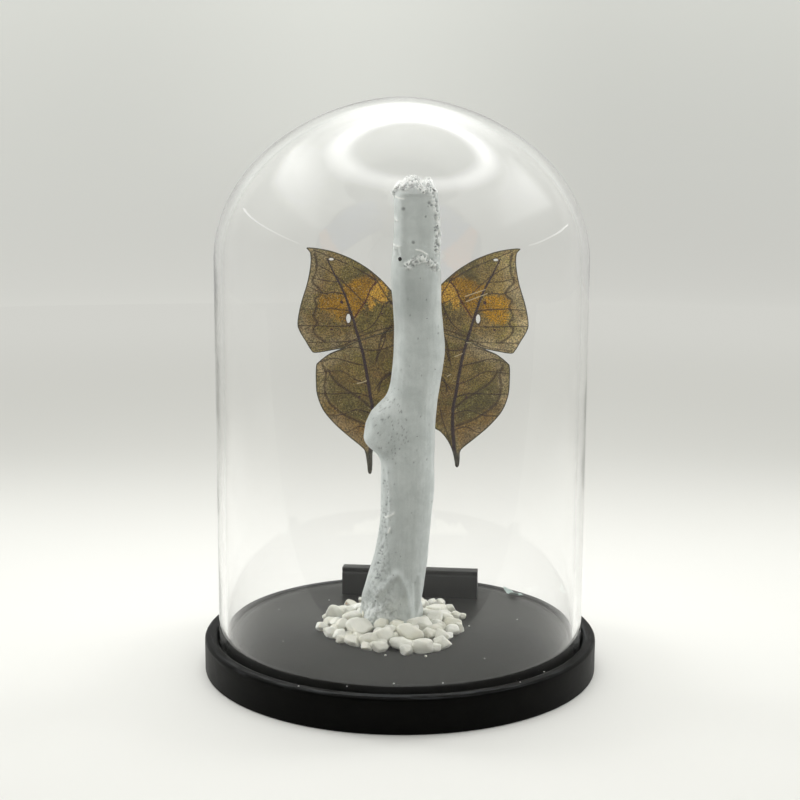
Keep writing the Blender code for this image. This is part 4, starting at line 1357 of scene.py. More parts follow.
# Clear windows (middle, half sizes), dots (middle, radius), and the scratches of each side
WINDOWS = ((25.3, 134.1, 0.85, 1.75), (31.9, 156.9, 0.95, 0.5))
FAR_OFF = 9.0  # mm from a window, a dot or a patch, where it no longer shows
DOTS = ((27.9, 140.4, 0.5), (31.8, 129.8, 0.3), (21.0, 103.5, 0.3), (12.2, 136.0, 0.25))
SCRATCHES = {
    -1: (((21.9, 108.8), (20.1, 109.1), (18.2, 109.8)),),
    1: (((16.3, 119.4), (19.3, 120.6)), ((20.8, 124.9), (22.7, 124.8)), ((20.1, 142.8), (27.9, 145.5)),
        ((20.5, 140.8), (28.7, 143.9)), ((13.4, 111.6), (14.8, 112.4))),
}
UPPER_BAND = (
    (15, 151.8), (22.5, 143.5), (31, 132.5), (38.5, 123.2), (44, 128.5), (39, 138.5), (33.4, 148.6),
    (27, 158.6),
)
UPPER_APEX = (
    (26.6, 159.6), (33, 149), (38.8, 138.8), (43.6, 129), (47, 131), (45.5, 142), (42, 152),
    (43, 163.5),
)


def wing_outline(points, side):
    """The wing's outline as evenly spaced points, with the left tail drawn out to its full length."""
    drawn = []
    for x, z in points:
        drop = LEFT_TAIL_EXTRA * min((TAIL_FROM - z) / 6, 1) if side < 0 and z < TAIL_FROM else 0
        lean = 0.4 * side * min(max(TAIL_FROM - z, 0) / 4, 1)
        drawn.append((x + lean, z - drop))
    curve = np.array(spline_points(drawn, 24, closed=True))
    lengths = np.linalg.norm(np.roll(curve, -1, axis=0) - curve, axis=1)
    walked = np.concatenate(((0,), np.cumsum(lengths)))
    count = int(walked[-1] / 0.3)
    marks = np.linspace(0, walked[-1], count, endpoint=False)
    looped = np.vstack((curve, curve[:1]))
    return np.column_stack([np.interp(marks, walked, looped[:, i]) for i in (0, 1)])


def window_loop(window, grow=1.0, count=22):
    x, z, half_x, half_z = window
    turns = turns_round(count)
    return np.column_stack((x + grow * half_x * np.cos(turns), z + grow * half_z * np.sin(turns)))


def wing_sheet(outline, windows, spacing):
    """Triangles that fill an outline and leave its windows open: 2D points and faces."""
    low, high = outline.min(axis=0), outline.max(axis=0)
    rows = np.arange(low[1], high[1], spacing * 0.866)
    grid = []
    for index, z in enumerate(rows):
        xs = np.arange(low[0] + (index % 2) * spacing / 2, high[0], spacing)
        grid.append(np.column_stack((xs, np.full(len(xs), z))))
    grid = np.vstack(grid)
    keep = patch_depth(grid, outline) > spacing * 0.45
    loops = [outline] + [window_loop(window) for window in windows]
    for loop in loops[1:]:
        keep &= patch_depth(grid, loop) < -spacing * 0.4
    points = list(map(Vector, grid[keep]))
    edges = []
    for loop in loops:
        first = len(points)
        points += list(map(Vector, loop))
        edges += [(first + i, first + (i + 1) % len(loop)) for i in range(len(loop))]
    made, _, faces, *_ = delaunay_2d_cdt(points, edges, [], 0, 1e-6)
    flat, faces = np.array(made), np.array(faces)
    middles = flat[faces].mean(axis=1)
    inside = inside_outline(middles, outline)
    for loop in loops[1:]:
        inside &= ~inside_outline(middles, loop)
    return flat, faces[inside]


def nearest_line(flat, lines, widths):
    """Distance to the nearest of several lines, in half widths; a width is a (start, end) pair."""
    best = np.full(len(flat), 99.0)
    for line, (start, end) in zip(lines, widths):
        gap, along = line_distance(flat, spline_points(line, 6))
        best = np.minimum(best, gap / (start + (end - start) * along))
    return best


def wing_values(flat, outline, side, is_fore):
    """Every pattern value that the two wing materials read, at each point of a wing."""
    u, z = flat.T
    edge = line_distance(flat, [*outline, outline[0]])[0]
    midrib = np.array(spline_points(MIDRIB, 8))
    midrib_gap, along = line_distance(flat, midrib)
    half_width = np.interp(along, (0, 0.12, 0.4, 0.75, 1.0), (0.16, 0.26, 0.42, 0.46, 0.6))
    inner = smooth_step(0.6, -1.2, u - np.interp(-z, -midrib[:, 1], midrib[:, 0]))
    veins = FORE_VEINS if is_fore else HIND_VEINS
    scratch_and_glint = nearest_line(flat, SCRATCHES[side], [(1.0, 1.0)] * len(SCRATCHES[side]))
    glints = [np.hypot(u - x, z - height) for x, height in GLINTS[side]]
    dots = [np.hypot(u - x, z - height) - radius for x, height, radius in DOTS]
    windows = [np.hypot((u - x) / wide, (z - mid) / tall) * wide - wide for x, mid, wide, tall in WINDOWS]
    none, outside = np.zeros(len(u)), np.full(len(u), -FAR_OFF)
    values = {
        "edge": edge,
        "midrib": midrib_gap / half_width,
        "vein": nearest_line(flat, veins, [(0.26, 0.17)] * len(veins)),
        "red_line": nearest_line(flat, (RED_LINE,), ((0.34, 0.42),)),
        "scallop": nearest_line(flat, SCALLOPS, [(0.7, 0.7)] * len(SCALLOPS)),
        "gold": patch_depth(flat, GOLD),
        "amber": np.maximum(patch_depth(flat, AMBER_INNER), patch_depth(flat, AMBER_OUTER[side]) - 0.4),
        "smudge": patch_depth(flat, SMUDGE),
        "outer": 1 - 0.75 * inner,
        "tail": none if is_fore else smooth_step(83.5, 80.0, z),
        # The glints, painted highlights, join the scratches' mask
        "scratch_and_glint": np.minimum.reduce((scratch_and_glint, *glints)),
        "pale": smooth_step(24, 36, u) * float(is_fore and side > 0),
        "brown": outside if is_fore else 5.5 - edge - 9 * smooth_step(112, 122, z),
        "near_body": 1 - smooth_step(2, 13, u),
        "window": np.minimum.reduce(windows).clip(max=FAR_OFF),
        "dot": np.minimum.reduce(dots).clip(max=FAR_OFF),
    }
    for name, patch in (("band", UPPER_BAND), ("apex", UPPER_APEX)):
        values[name] = patch_depth(flat, patch) if is_fore else outside
    for name, patch in (("warm", HIND_WARM), ("olive", HIND_OLIVE)):
        values[name] = outside if is_fore else patch_depth(flat, patch)
    return values


def wing_wave(u, z):
    """The wings' slight waviness, in millimetres along Y; the same for all four, so that they don't touch."""
    points = np.column_stack((u, z, np.zeros(len(u))))
    return 0.3 * fractal(points, 17, 2, 4.0) + 0.5 * (np.clip(u, 0, 46) / 46) ** 2


def make_wing(name, points, side, y, is_fore, settings, materials):
    outline = wing_outline(points, side)
    flat, faces = wing_sheet(outline, WINDOWS if is_fore else (), settings.mesh_step / MM)
    values = wing_values(flat, outline, side, is_fore)
    edge = values["edge"]
    ridge = 0.10 * np.exp(-(values["vein"] / 0.9) ** 2) + 0.16 * np.exp(-(values["midrib"] / 0.9) ** 2)
    thickness = settings.wing_thickness / MM / 2
    thin = thickness * (0.35 + 0.65 * smooth_step(0.0, 0.5, edge)) + ridge * smooth_step(0.0, 0.4, edge)
    tail = values["tail"] * 0.35 * smooth_step(0.0, 1.0, edge)
    middle = y + wing_wave(flat[:, 0], flat[:, 1])
    x = BUTTERFLY_X + side * flat[:, 0]
    under = np.column_stack((x, middle - thin - tail, flat[:, 1]))
    upper = np.column_stack((x, middle + thin + tail, flat[:, 1]))
    count = len(flat)
    under_faces, upper_faces = (faces, faces[:, ::-1]) if side > 0 else (faces[:, ::-1], faces)
    edges = dict.fromkeys((int(a), int(b)) for face in under_faces for a, b in zip(face, np.roll(face, -1)))
    rim = [(end, start, start + count, end + count) for start, end in edges if (end, start) not in edges]
    all_faces = under_faces.tolist() + (upper_faces + count).tolist() + rim
    wing = mesh_object(name, np.vstack((under, upper)) * MM, all_faces, materials)
    kinds = np.zeros(len(all_faces), np.int32)
    kinds[len(faces):2 * len(faces)] = 1
    wing.data.polygons.foreach_set("material_index", kinds)
    for key, value in values.items():
        set_attribute(wing, key, np.concatenate((value, value)))
    return place(wing, "leaf_wing", "butterfly")


def make_windows():
    """Four clear membranes that close the windows."""
    verts, faces = [], []
    for side, _ in SIDES:
        for window in WINDOWS:
            loop = window_loop(window, 1.04)
            depth = FOREWING_Y + wing_wave(loop[:, 0], loop[:, 1])
            for shift in (-0.02, 0.02):
                first = len(verts)
                for (u, z), y in zip(loop, depth):
                    verts.append(((BUTTERFLY_X + side * u) * MM, (y + shift) * MM, z * MM))
                ring = list(range(first, first + len(loop)))
                faces.append(ring if (shift < 0) == (side > 0) else ring[::-1])
            first = len(verts) - 2 * len(loop)
            for i in range(len(loop)):
                j = (i + 1) % len(loop)
                quad = (first + i, first + len(loop) + i, first + len(loop) + j, first + j)
                faces.append(quad if side > 0 else quad[::-1])
    panes = mesh_object("wing_windows", verts, faces, [membrane_material()])
    hide_from(panes, "shadow")
    sharpen(panes, 40)
    return place(panes, "leaf_wing", "butterfly")


# ---- body

# The right side's feeler and legs, x from the butterfly's middle, in millimetres
BODY_Y = 8.4
FEELER = ((0.9, 8.6, 139.4), (2.2, 9.5, 144.0), (3.9, 10.1, 149.5), (5.7, 10.4, 155.5), (6.4, 10.4, 158.2))
THORAX = ((0, BODY_Y - 0.6, 130.0), (2.9, 4.3, 6.5))  # middle and half sizes, like the next two
HEAD = ((0, BODY_Y, 138.0), (1.8, 1.8, 2.2))
PALPS = [((x, BODY_Y - 0.3, 140.8), (0.5, 0.65, 1.9)) for x in (0.55, -0.55)]
LEGS = (
    ((1.2, 6.2, 132.5), (3.0, 5.6, 134.6), (4.2, 4.9, 134.2), (5.2, 4.6, 136.0), (6.0, 4.2, 136.8)),
    ((1.2, 6.2, 127.0), (3.0, 5.8, 126.2), (4.4, 5.0, 124.4), (5.4, 4.7, 123.2), (6.2, 4.3, 121.6)),
)


def lump(centre, half, level=5):
    """Vertices and faces of an egg shape in millimetres."""
    directions, faces = sphere_directions(level)
    return directions * half + np.array(centre) + (BUTTERFLY_X, 0, 0), faces


def make_body(settings):
    """The thorax, abdomen and head in one mesh."""
    verts, faces, dark = [], [], []
    first = 0
    for (centre, half), tone in zip((THORAX, HEAD, *PALPS), (0.1, 0.3, 0.2, 0.2)):
        points, ball = lump(centre, half)
        outward = points - np.array(centre) - (BUTTERFLY_X, 0, 0)
        points = points + 0.10 * fractal(points, 1.6, 3)[:, None] * outward / 2
        verts.append(points)
        faces += (ball + first).tolist()
        dark += [tone] * len(points)
        first += len(points)
    rings, sides = 90, 40
    share = np.linspace(0, 1, rings)
    height = 126.0 - 20.8 * share
    width = np.interp(share, (0, 0.12, 0.45, 0.8, 0.95, 1.0), (1.9, 2.25, 2.35, 1.7, 0.9, 0.15))
    groove = np.abs(np.sin(pi * share * 8)) ** 0.35
    width = width * (0.88 + 0.12 * groove)
    turn = turns_round(sides)
    middle_y = BODY_Y + 0.3 + 0.4 * share
    points = np.stack((
        BUTTERFLY_X + width[:, None] * 0.95 * np.cos(turn),
        middle_y[:, None] + width[:, None] * 1.05 * np.sin(turn),
        height[:, None] + 0 * turn,
    ), axis=2).reshape(-1, 3)
    verts.append(points)
    last = first + (rings - 1) * sides
    faces += flipped(ring_faces(rings, sides, first))
    faces += [range(first, first + sides), range(last + sides - 1, last - 1, -1)]
    dark += list(np.repeat(0.55 * (1 - groove), sides))
    body = mesh_object("insect_body", np.vstack(verts) * MM, faces, [hairy_body_material(settings)])
    set_attribute(body, "dark", dark)
    return place(body, "leaf_wing", "butterfly")


def make_eyes():
    verts, faces = [], []
    for side, _ in SIDES:
        points, ball = lump((side * 1.35, BODY_Y, 138.4), (0.95, 1.05, 1.15), 4)
        faces += (ball + sum(len(v) for v in verts)).tolist()
        verts.append(points)
    eyes = mesh_object("insect_eyes", np.vstack(verts) * MM, faces, [eye_material()])
    return place(eyes, "leaf_wing", "butterfly")


def make_limbs(settings):
    """Clubbed feelers, and legs that hold on to the branch."""
    verts, faces = [], []
    for side, _ in SIDES:
        route = spline_points([(BUTTERFLY_X + side * x, y, z) for x, y, z in FEELER], 12)
        share = np.linspace(0, 1, len(route))
        tube_mesh(verts, faces, route, np.interp(share, (0, 0.8, 0.92, 1), (0.14, 0.11, 0.36, 0.16)), 10)
        for leg in LEGS:
            route = spline_points([(BUTTERFLY_X + side * x, y, z) for x, y, z in leg], 6)
            share = np.linspace(0, 1, len(route))
            tube_mesh(verts, faces, route, np.interp(share, (0, 0.3, 0.5, 1), (0.38, 0.3, 0.2, 0.12)), 8)
    limbs = mesh_object("feelers_and_legs", [v * MM for v in verts], faces, [hairy_body_material(settings)])
    set_attribute(limbs, "dark", [0.75] * len(verts))
    return place(limbs, "leaf_wing", "butterfly")


def make_hair(settings):
    """Short hairs on the thorax and head, and longer ones along the hindwings' inner edges."""
    rng = random.Random(21)
    verts, faces, dark = [], [], []

    def add_hair(root, way, length, thick):
        first = len(verts)
        way = way.normalized()
        across = way.orthogonal().normalized()
        other = way.cross(across)
        bend = Vector((rng.uniform(-0.2, 0.2), rng.uniform(-0.1, 0.1), -0.3))
        middle = root + way * length * 0.55
        tip = root + (way + bend).normalized() * length
        for centre, size in ((root, thick), (middle, thick * 0.7)):
            for turn in (0, 2.094, 4.189):
                verts.append(centre + size * (cos(turn) * across + sin(turn) * other))
        verts.append(tip)
        for i in range(3):
            j = (i + 1) % 3
            faces.append((first + i, first + j, first + 3 + j, first + 3 + i))
            faces.append((first + 3 + i, first + 3 + j, first + 6))
        faces.append((first + 2, first + 1, first))
        dark.extend([rng.uniform(0, 0.6)] * 7)

    for (centre, half), count in ((THORAX, settings.hairs), (HEAD, settings.hairs // 4)):
        for _ in range(count):
            out = Vector((rng.gauss(0, 1), rng.gauss(0, 1), rng.gauss(0, 1))).normalized()
            if out.y < -0.35:  # the side that lies against the branch
                continue
            root = Vector(centre) + out * Vector(half) * 0.97
            way = out + Vector((0, 0, -1.1))
            add_hair(root + Vector((BUTTERFLY_X, 0, 0)), way, rng.uniform(0.9, 1.9), 0.035)
    for side, _ in SIDES:
        for _ in range(settings.hairs // 3):
            height = rng.uniform(98, 126)
            u = np.interp(height, (97, 106, 118, 126), (4.2, 2.4, 1.6, 1.6)) + rng.uniform(0, 2.2)
            root = Vector((BUTTERFLY_X + side * u, HINDWING_Y + 0.15 + rng.uniform(0, 0.2), height))
            add_hair(root, Vector((-side * 0.35, 0.35, -1)), rng.uniform(1.2, 2.6), 0.03)
    hair = mesh_object("body_hair", [v * MM for v in verts], faces, [hairy_body_material(settings)])
    set_attribute(hair, "dark", dark)
    return place(hair, "leaf_wing", "butterfly")


# ---- dirt

# Dust specks as (x, y, z, size) in millimetres, on the rim and the disc
SPECKS = (
    (-35, -64.9, 13.2, 0.32), (-18.2, -68, 14.4, 0.26), (-2.1, -63.8, 14.4, 0.3),
    (14.6, -63.2, 14.4, 0.3), (51, -53, 14.4, 0.3), (42, -60, 13.2, 0.25), (30.5, -38, 14.4, 0.22),
    (-44, -20, 14.4, 0.2), (47, 8, 14.4, 0.25), (-30, 33, 14.4, 0.3), (20, 52, 14.4, 0.3),
    (-50, 20, 14.4, 0.2),
)
GLUE = (48.9, 41.4)  # where the fleck lies on the disc


def make_specks(material):
    """Specks of dust and chalk, each an uneven little lump."""
    rng = random.Random(31)
    directions, ball = sphere_directions(3)
    verts, faces = [], []
    for x, y, z, size in SPECKS:
        shape = chip_shape(directions, rng, 8) * size * np.array((1.2, 0.8, 0.5))
        verts.append(shape + (x, y, z + 0.3 * size))
        faces += (ball + (len(verts) - 1) * len(directions)).tolist()
    specks = mesh_object("dust_specks", np.vstack(verts) * MM, faces, [material])
    set_attribute(specks, "warmth", [0.5] * len(specks.data.vertices))
    return place(specks, "white_stone")


def make_glue():
    """A curled fleck of dried glue at the back edge of the disc."""
    rng = random.Random(8)
    steps, rows = 26, 7
    verts = []
    for row in range(rows):
        for i in range(steps):
            turn = 2 * pi * i / steps
            reach = (row + 1) / rows * (1 + 0.25 * sin(3 * turn + 0.6) + 0.12 * sin(7 * turn))
            along, across = 4.7 * reach * cos(turn), 1.7 * reach * sin(turn)
            x = GLUE[0] - 0.72 * along + 0.70 * across
            y = GLUE[1] + 0.70 * along + 0.72 * across
            rise = 1.5 * reach * reach * (0.25 + 0.75 * sin(turn + 0.8) ** 2)
            verts.append((x, y, DISC_TOP / MM + 0.12 + rise + 0.04 * rng.random()))
    faces = flipped(ring_faces(rows, steps))
    verts.append((GLUE[0], GLUE[1], DISC_TOP / MM + 0.12))
    faces += [(len(verts) - 1, i, (i + 1) % steps) for i in range(steps)]
    fleck = mesh_object("glue_fleck", [Vector(v) * MM for v in verts], faces, [glue_material()])
    wall = fleck.modifiers.new("Thickness", "SOLIDIFY")
    wall.thickness = 0.16 * MM
    return place(fleck, "black_wood")


# ---- stage

CAMERA_TARGET = Vector((-0.43, 0, 103.68)) * MM
CAMERA_DISTANCE = 510.3 * MM
CAMERA_PITCH = radians(8.42)
CAMERA_ROLL = radians(0.25)
CAMERA_LENS = 59.85  # mm on a 36 mm sensor


def make_camera():
    ahead = Vector((0, cos(CAMERA_PITCH), -sin(CAMERA_PITCH)))
    data = bpy.data.cameras.new("camera")
    data.lens = CAMERA_LENS
    data.sensor_width = 36
    data.clip_start = 0.01
    camera = link_object("camera", data)
    turn = ahead.to_track_quat("-Z", "Y").to_matrix().to_4x4()
    where = Matrix.Translation(CAMERA_TARGET - CAMERA_DISTANCE * ahead)
    camera.matrix_world = where @ turn @ Matrix.Rotation(CAMERA_ROLL, 4, "Z")
    bpy.context.scene.camera = camera


def make_backdrop():
    """A flat floor in two halves and, around it, a wall that rises in a soft bend."""
    reach, lift, sides, split = 1.9, 1.0, 96, -0.15
    card = card_material("pale_card", floor_glow, (1.0, 1.0, 0.97))
    for name, low, high in (("floor_back", split, reach), ("floor_front", -reach, split)):
        corners = [(-reach, low, 0), (reach, low, 0), (reach, high, 0), (-reach, high, 0)]
        sheet = mesh_object(name, corners, [(0, 1, 2, 3)], [card])
        sheet.visible_glossy = name == "floor_back"
    bend = np.radians(np.linspace(0, 84, 40))
    section = [(reach + lift * sin(a), lift - lift * cos(a)) for a in bend]
    section += [(reach + lift, z) for z in (1.4, 2.0, 3.0)]
    verts = spin_profile(section, sides)
    faces = flipped(ring_faces(len(section), sides))
    sheet = mesh_object("wall", verts, faces, [card_material("tent_wall", wall_glow, (0.97, 1.0, 0.93))])
    hide_from(sheet, "shadow", "diffuse", "glossy")


def area_light(name, place_at, target, size, power, spread):
    data = bpy.data.lights.new(name, "AREA")
    data.shape = "DISK"
    data.size = size
    data.spread = radians(spread)
    data.energy = power
    light = link_object(name, data)
    light.location = place_at
    light.rotation_euler = (Vector(target) - Vector(place_at)).to_track_quat("-Z", "Y").to_euler()
    hide_from(light, "glossy", "transmission")


def glow_material(name, strength):
    """A glow that adds to what lies behind it, as strong as the mesh's glow attribute."""
    graph = MaterialGraph(name)
    graph.tree.nodes.clear()
    glow = graph.fill(graph.node("ShaderNodeEmission"), Color=graph.attribute("glow"), Strength=strength)[0]
    clear = graph.node("ShaderNodeBsdfTransparent").outputs[0]
    both = graph.feed(graph.node("ShaderNodeAddShader"), glow, clear)[0]
    graph.fill(graph.node("ShaderNodeOutputMaterial"), Surface=both)
    return graph.material


def glow_panel(name, verts, faces, glow, strength):
    """A lamp that only shows as a reflection."""
    panel = mesh_object(name, verts, faces, [glow_material(name + "_glow", strength)])
    set_attribute(panel, "glow", glow)
    hide_from(panel, "camera", "diffuse", "shadow", "transmission")


LAMP_HEIGHT = 0.70
# The lamps that the dome mirrors, at that height, in metres: outline, brightest place, strength
MIRRORED_BOXES = (
    (((-0.41, 0.44), (-0.62, 0.27), (-0.85, -0.57), (-0.38, -0.03)), (-0.50, 0.24), 0.5),
    (((0.49, 0.28), (1.05, 0.51), (1.00, -0.42), (0.55, -0.12)), (0.62, 0.22), 0.42),
)


def make_light_tent(settings):
    """What the dome mirrors from above: a round lamp, its soft band behind and two side boxes."""
    xs, ys = np.linspace(-1.2, 1.4, 105), np.linspace(-0.9, 1.1, 81)
    spots = np.array([(x, y) for y in ys for x in xs])
    away = np.hypot(spots[:, 0] - 0.055, spots[:, 1] - 0.02)
    inner, outer = settings.ring_inner, settings.ring_outer
    glow = smooth_step(inner - 0.03, inner + 0.05, away) * smooth_step(outer + 0.09, outer - 0.05, away)
    band = smooth_step(0.25, 0.36, away) * smooth_step(0.95, 0.55, spots[:, 1])
    band *= smooth_step(0.0, 0.2, spots[:, 1])
    band *= smooth_step(0.44, 0.0, np.abs(spots[:, 0] - 0.04))
    glow = np.maximum(glow, 0.45 * band)
    for outline, peak, strength in MIRRORED_BOXES:
        near = np.exp(-(np.hypot(spots[:, 0] - peak[0], spots[:, 1] - peak[1]) / 0.4) ** 2)
        inside = smooth_step(-0.16, 0.08, patch_depth(spots, outline))
        glow = np.maximum(glow, strength * inside * (0.45 + 0.55 * near))
    verts = [(x, y, LAMP_HEIGHT) for x, y in spots]
    wide = len(xs)
    faces = [
        (row * wide + i, row * wide + i + 1, (row + 1) * wide + i + 1, (row + 1) * wide + i)
        for row in range(len(ys) - 1)
        for i in range(wide - 1)
    ]
    glow_panel("light_tent", verts, faces, glow, settings.ring_glow)


def bar(start, end, half_width):
    """A flat strip between two points, as corners of one face, upright."""
    start, end = Vector(start), Vector(end)
    up = Vector((0, 0, half_width))
    return [start - up, end - up, end + up, start + up]


def make_surroundings(settings):
    """Soft light from all sides: brighter above, dark on the camera's side."""
    world = bpy.data.worlds.new("studio")
    world.use_nodes = True
    graph = Graph(world.node_tree)
    x, y, z = graph.split(graph.node("ShaderNodeTexCoord").outputs["Generated"])
    above = graph.step(z, 0.15, 0.75)
    bright = graph.add(graph.times(above, settings.above - settings.around), settings.around)
    bright = graph.add(bright, graph.step(y, -0.1, 0.6, 0.0, 0.2))
    facing = graph.times(graph.step(y, 0.1, -0.6), graph.step(z, 0.85, 0.45))
    dark = graph.times(facing, graph.step(x, 0.0, 0.8, -0.88, -0.6))
    strength = graph.times(bright, graph.add(dark, 1.0))
    background = world.node_tree.nodes["Background"]
    graph.fill(background, Color=(*settings.world_colour, 1.0), Strength=strength)
    bpy.context.scene.world = world


def make_stage(settings):
    make_camera()
    make_backdrop()
    make_light_tent(settings)
    make_surroundings(settings)
    for name, start, end in (
        ("left_strip", (-0.50, 0.30, 0.37), (-0.50, -0.30, 0.30)),
        ("right_strip", (0.50, 0.30, 0.30), (0.50, -0.12, 0.26)),
    ):
        glow_panel(name, bar(start, end, 3.5 * MM), [(0, 1, 2, 3)], np.ones(4), 2.6)
    where = Vector((-0.03, 0.09, LAMP_HEIGHT))
    area_light("top_lamp", where, where - Vector((0, 0, 1)), 0.4, settings.top_power, 105)
    for name, x in (("left_box", -0.75), ("right_box", 0.75)):
        area_light(name, Vector((x, 0.30, 0.22)), Vector((0, 0, 0.11)), 0.3, settings.side_power, 60)
    scene = bpy.context.scene
    scene.view_settings.view_transform = "Standard"
    scene.view_settings.look = "None"


# ---- settings


class BaseSettings(bpy.types.PropertyGroup):
    """The turned base."""

    rim_round: FloatProperty(
        name="Rim rounding", description="Radius of the rim's edges", default=1.3 * MM, unit="LENGTH",
    )
    disc_round: FloatProperty(
        name="Disc rounding", description="Radius of the middle's edge", default=0.8 * MM, unit="LENGTH",
    )
    steps: IntProperty(name="Steps", description="Facets round the base", default=256, min=48)
    colour: FloatVectorProperty(
        name="Stain", description="Colour of the black stain", subtype="COLOR", default=srgb(13, 13, 11),
    )
    wear: FloatProperty(
        name="Wear", description="How far the rim's stain is rubbed", default=0.5, subtype="FACTOR",
    )


class DomeSettings(bpy.types.PropertyGroup):
    """The glass dome."""

    wall: FloatProperty(name="Wall", description="Thickness of the glass", default=3.2 * MM, unit="LENGTH")
    steps: IntProperty(name="Steps", description="Facets round the dome", default=192, min=48)
    refraction: FloatProperty(name="IOR", description="Refractive index of the glass", default=1.47)


class BranchSettings(bpy.types.PropertyGroup):
    """The painted branch."""

    rings: IntProperty(name="Rings", description="Rings of vertices up the branch", default=430, min=60)
    sides: IntProperty(name="Sides", description="Vertices in a ring", default=190, min=24)
    colour: FloatVectorProperty(
        name="Paint", description="Colour of the white paint", subtype="COLOR", default=srgb(206, 211, 209),
    )


class GravelSettings(bpy.types.PropertyGroup):
    """The heap of white chips."""

    lower_stones: IntProperty(name="Lower chips", description="Chips in the layer on the disc", default=84)
    upper_stones: IntProperty(name="Upper chips", description="Chips in the layer on top", default=56)
    crumbs: IntProperty(name="Crumbs", description="Loose grains round the heap", default=6)
    seed: IntProperty(name="Seed", description="Start of the random draws", default=11)
    colour: FloatVectorProperty(
        name="Stone", description="Colour of the chips", subtype="COLOR", default=srgb(246, 246, 240),
    )


class LabelSettings(bpy.types.PropertyGroup):
    """The label holder."""

    edge_round: FloatProperty(
        name="Edge rounding", description="Radius of its edges", default=0.22 * MM, unit="LENGTH",
    )
    colour: FloatVectorProperty(
        name="Plastic", description="Colour of the plastic", subtype="COLOR", default=srgb(24, 24, 24),
    )


class ButterflySettings(bpy.types.PropertyGroup):
    """The mounted butterfly."""

    mesh_step: FloatProperty(
        name="Mesh step", description="Distance between a wing's vertices", default=0.28 * MM, unit="LENGTH",
    )
    wing_thickness: FloatProperty(
        name="Wing thickness", description="Thickness of a wing", default=0.16 * MM, unit="LENGTH",
    )
    hairs: IntProperty(name="Hairs", description="Hairs on the thorax", default=1400)
    leaf_colour: FloatVectorProperty(
        name="Leaf", description="Main colour of the undersides", subtype="COLOR", default=srgb(140, 116, 62),
    )
    margin_colour: FloatVectorProperty(
        name="Margin", description="Colour near the undersides' edges", subtype="COLOR",
        default=srgb(174, 154, 114),
    )
    blue_colour: FloatVectorProperty(
        name="Blue", description="Blue of the upper sides", subtype="COLOR", default=srgb(26, 52, 112),
    )
    orange_colour: FloatVectorProperty(
        name="Orange", description="Band of the upper sides", subtype="COLOR", default=srgb(232, 142, 40),
    )
    body_colour: FloatVectorProperty(
        name="Body", description="Colour of the body's scales", subtype="COLOR", default=srgb(74, 56, 40),
    )


class StageSettings(bpy.types.PropertyGroup):
    """Backdrop, lamps and camera."""

    world_colour: FloatVectorProperty(
        name="Surroundings", description="Colour of the soft light all round", subtype="COLOR",
        default=(1.0, 1.0, 0.965),
    )
    around: FloatProperty(
        name="Light around", description="Strength of the light from the sides", default=0.44,
    )
    above: FloatProperty(name="Light above", description="Strength of the light from above", default=0.93)
    top_power: FloatProperty(
        name="Top lamp", description="Power of the lamp overhead", default=0.53, unit="POWER",
    )
    side_power: FloatProperty(
        name="Side boxes", description="Power of each side box", default=0.5, unit="POWER",
    )
    ring_inner: FloatProperty(
        name="Ring inside", description="Inner radius of the ring lamp", default=0.245, unit="LENGTH",
    )
    ring_outer: FloatProperty(
        name="Ring outside", description="Outer radius of the ring lamp", default=0.33, unit="LENGTH",
    )
    ring_glow: FloatProperty(name="Ring glow", description="Brightness of the ring lamp", default=5.2)


SETTINGS = (
    ("dome_base", BaseSettings),
    ("dome_glass", DomeSettings),
    ("dome_branch", BranchSettings),
    ("dome_gravel", GravelSettings),
    ("dome_label", LabelSettings),
    ("dome_butterfly", ButterflySettings),
    ("dome_stage", StageSettings),
)


# ---- operators


class DOME_OT_stage(bpy.types.Operator):
    """Set up the pale backdrop, the lamps and the camera"""

    bl_idname = "dome.stage"
    bl_label = "Stage"

    def execute(self, context):
        make_stage(context.scene.dome_stage)
        return {"FINISHED"}


class DOME_OT_base(bpy.types.Operator):
    """Build the turned black base"""

    bl_idname = "dome.base"
    bl_label = "Base"

    def execute(self, context):
        make_base(context.scene.dome_base)
        return {"FINISHED"}


class DOME_OT_glass(bpy.types.Operator):
    """Build the clear glass dome"""

    bl_idname = "dome.glass"
    bl_label = "Glass dome"

    def execute(self, context):
        make_dome(context.scene.dome_glass)
        return {"FINISHED"}


class DOME_OT_branch(bpy.types.Operator):
    """Build the painted branch"""

    bl_idname = "dome.branch"
    bl_label = "Branch"

    def execute(self, context):
        make_branch(context.scene.dome_branch)
        return {"FINISHED"}


class DOME_OT_gravel(bpy.types.Operator):
    """Build the heap of white chips and its crumbs"""

    bl_idname = "dome.gravel"
    bl_label = "Gravel"

    def execute(self, context):
        make_gravel(context.scene.dome_gravel)
        return {"FINISHED"}


class DOME_OT_label(bpy.types.Operator):
    """Build the label holder"""

    bl_idname = "dome.label"
    bl_label = "Label holder"

    def execute(self, context):
        make_label_holder(context.scene.dome_label)
        return {"FINISHED"}


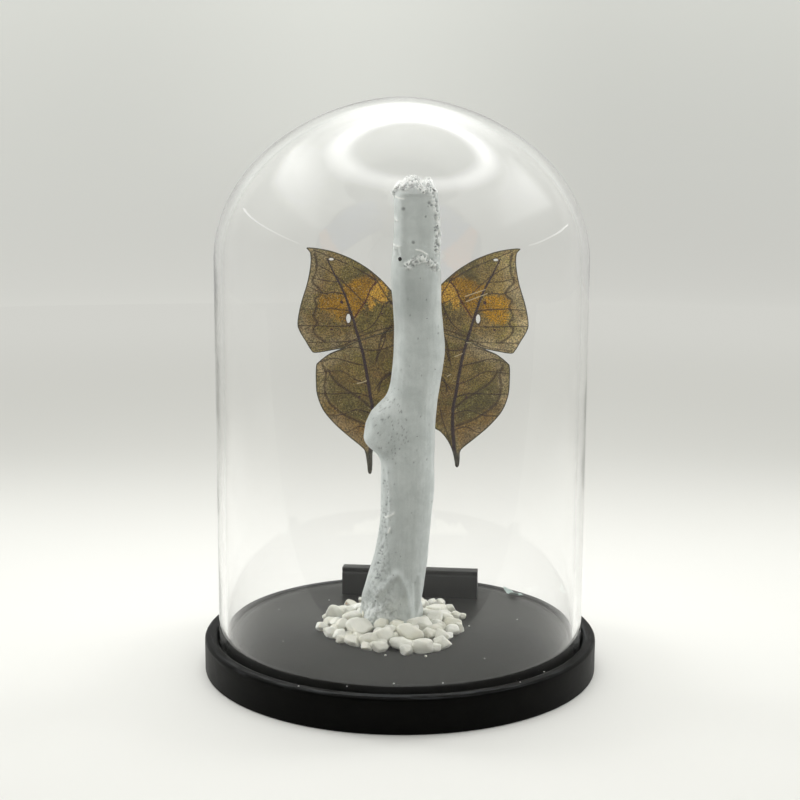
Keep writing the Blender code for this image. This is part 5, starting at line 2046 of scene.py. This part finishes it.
class DOME_OT_wings(bpy.types.Operator):
    """Build the four wings and their clear windows"""

    bl_idname = "dome.wings"
    bl_label = "Wings"

    def execute(self, context):
        settings = context.scene.dome_butterfly
        materials = [leaf_side_material(settings), upper_side_material(settings)]
        for side, word in SIDES:
            make_wing(f"forewing_{word}", FOREWING, side, FOREWING_Y, True, settings, materials)
            make_wing(f"hindwing_{word}", HINDWING, side, HINDWING_Y, False, settings, materials)
        make_windows()
        return {"FINISHED"}


class DOME_OT_body(bpy.types.Operator):
    """Build the butterfly's body, eyes, feelers, legs and hair"""

    bl_idname = "dome.body"
    bl_label = "Body"

    def execute(self, context):
        settings = context.scene.dome_butterfly
        make_body(settings)
        make_eyes()
        make_limbs(settings)
        make_hair(settings)
        return {"FINISHED"}


class DOME_OT_dirt(bpy.types.Operator):
    """Build the fleck of glue and the specks of dust"""

    bl_idname = "dome.dirt"
    bl_label = "Dirt"

    def execute(self, context):
        make_specks(bpy.data.materials["white_stone"])
        make_glue()
        return {"FINISHED"}


OPERATORS = (
    DOME_OT_stage, DOME_OT_base, DOME_OT_glass, DOME_OT_branch, DOME_OT_gravel, DOME_OT_label, DOME_OT_wings,
    DOME_OT_body, DOME_OT_dirt,
)


class DOME_PT_panel(bpy.types.Panel):
    """Lists the steps and their settings"""

    bl_idname = "DOME_PT_panel"
    bl_label = "Butterfly in a glass dome"
    bl_space_type = "VIEW_3D"
    bl_region_type = "UI"
    bl_category = "Dome"

    def draw(self, context):
        for operator in OPERATORS:
            self.layout.operator(operator.bl_idname)
        for name, group in SETTINGS:
            box = self.layout.box()
            box.label(text=group.__doc__)
            for key in group.__annotations__:
                box.prop(getattr(context.scene, name), key)


def register():
    for name, group in SETTINGS:
        bpy.utils.register_class(group)
        setattr(bpy.types.Scene, name, PointerProperty(type=group))
    for item in (*OPERATORS, DOME_PT_panel):
        bpy.utils.register_class(item)


def unregister():
    for item in (DOME_PT_panel, *reversed(OPERATORS)):
        bpy.utils.unregister_class(item)
    for name, group in reversed(SETTINGS):
        delattr(bpy.types.Scene, name)
        bpy.utils.unregister_class(group)


def main():
    register()
    bpy.ops.dome.stage()
    bpy.ops.dome.base()
    bpy.ops.dome.glass()
    bpy.ops.dome.branch()
    bpy.ops.dome.gravel()
    bpy.ops.dome.label()
    bpy.ops.dome.wings()
    bpy.ops.dome.body()
    bpy.ops.dome.dirt()


if __name__ == "__main__":
    main()
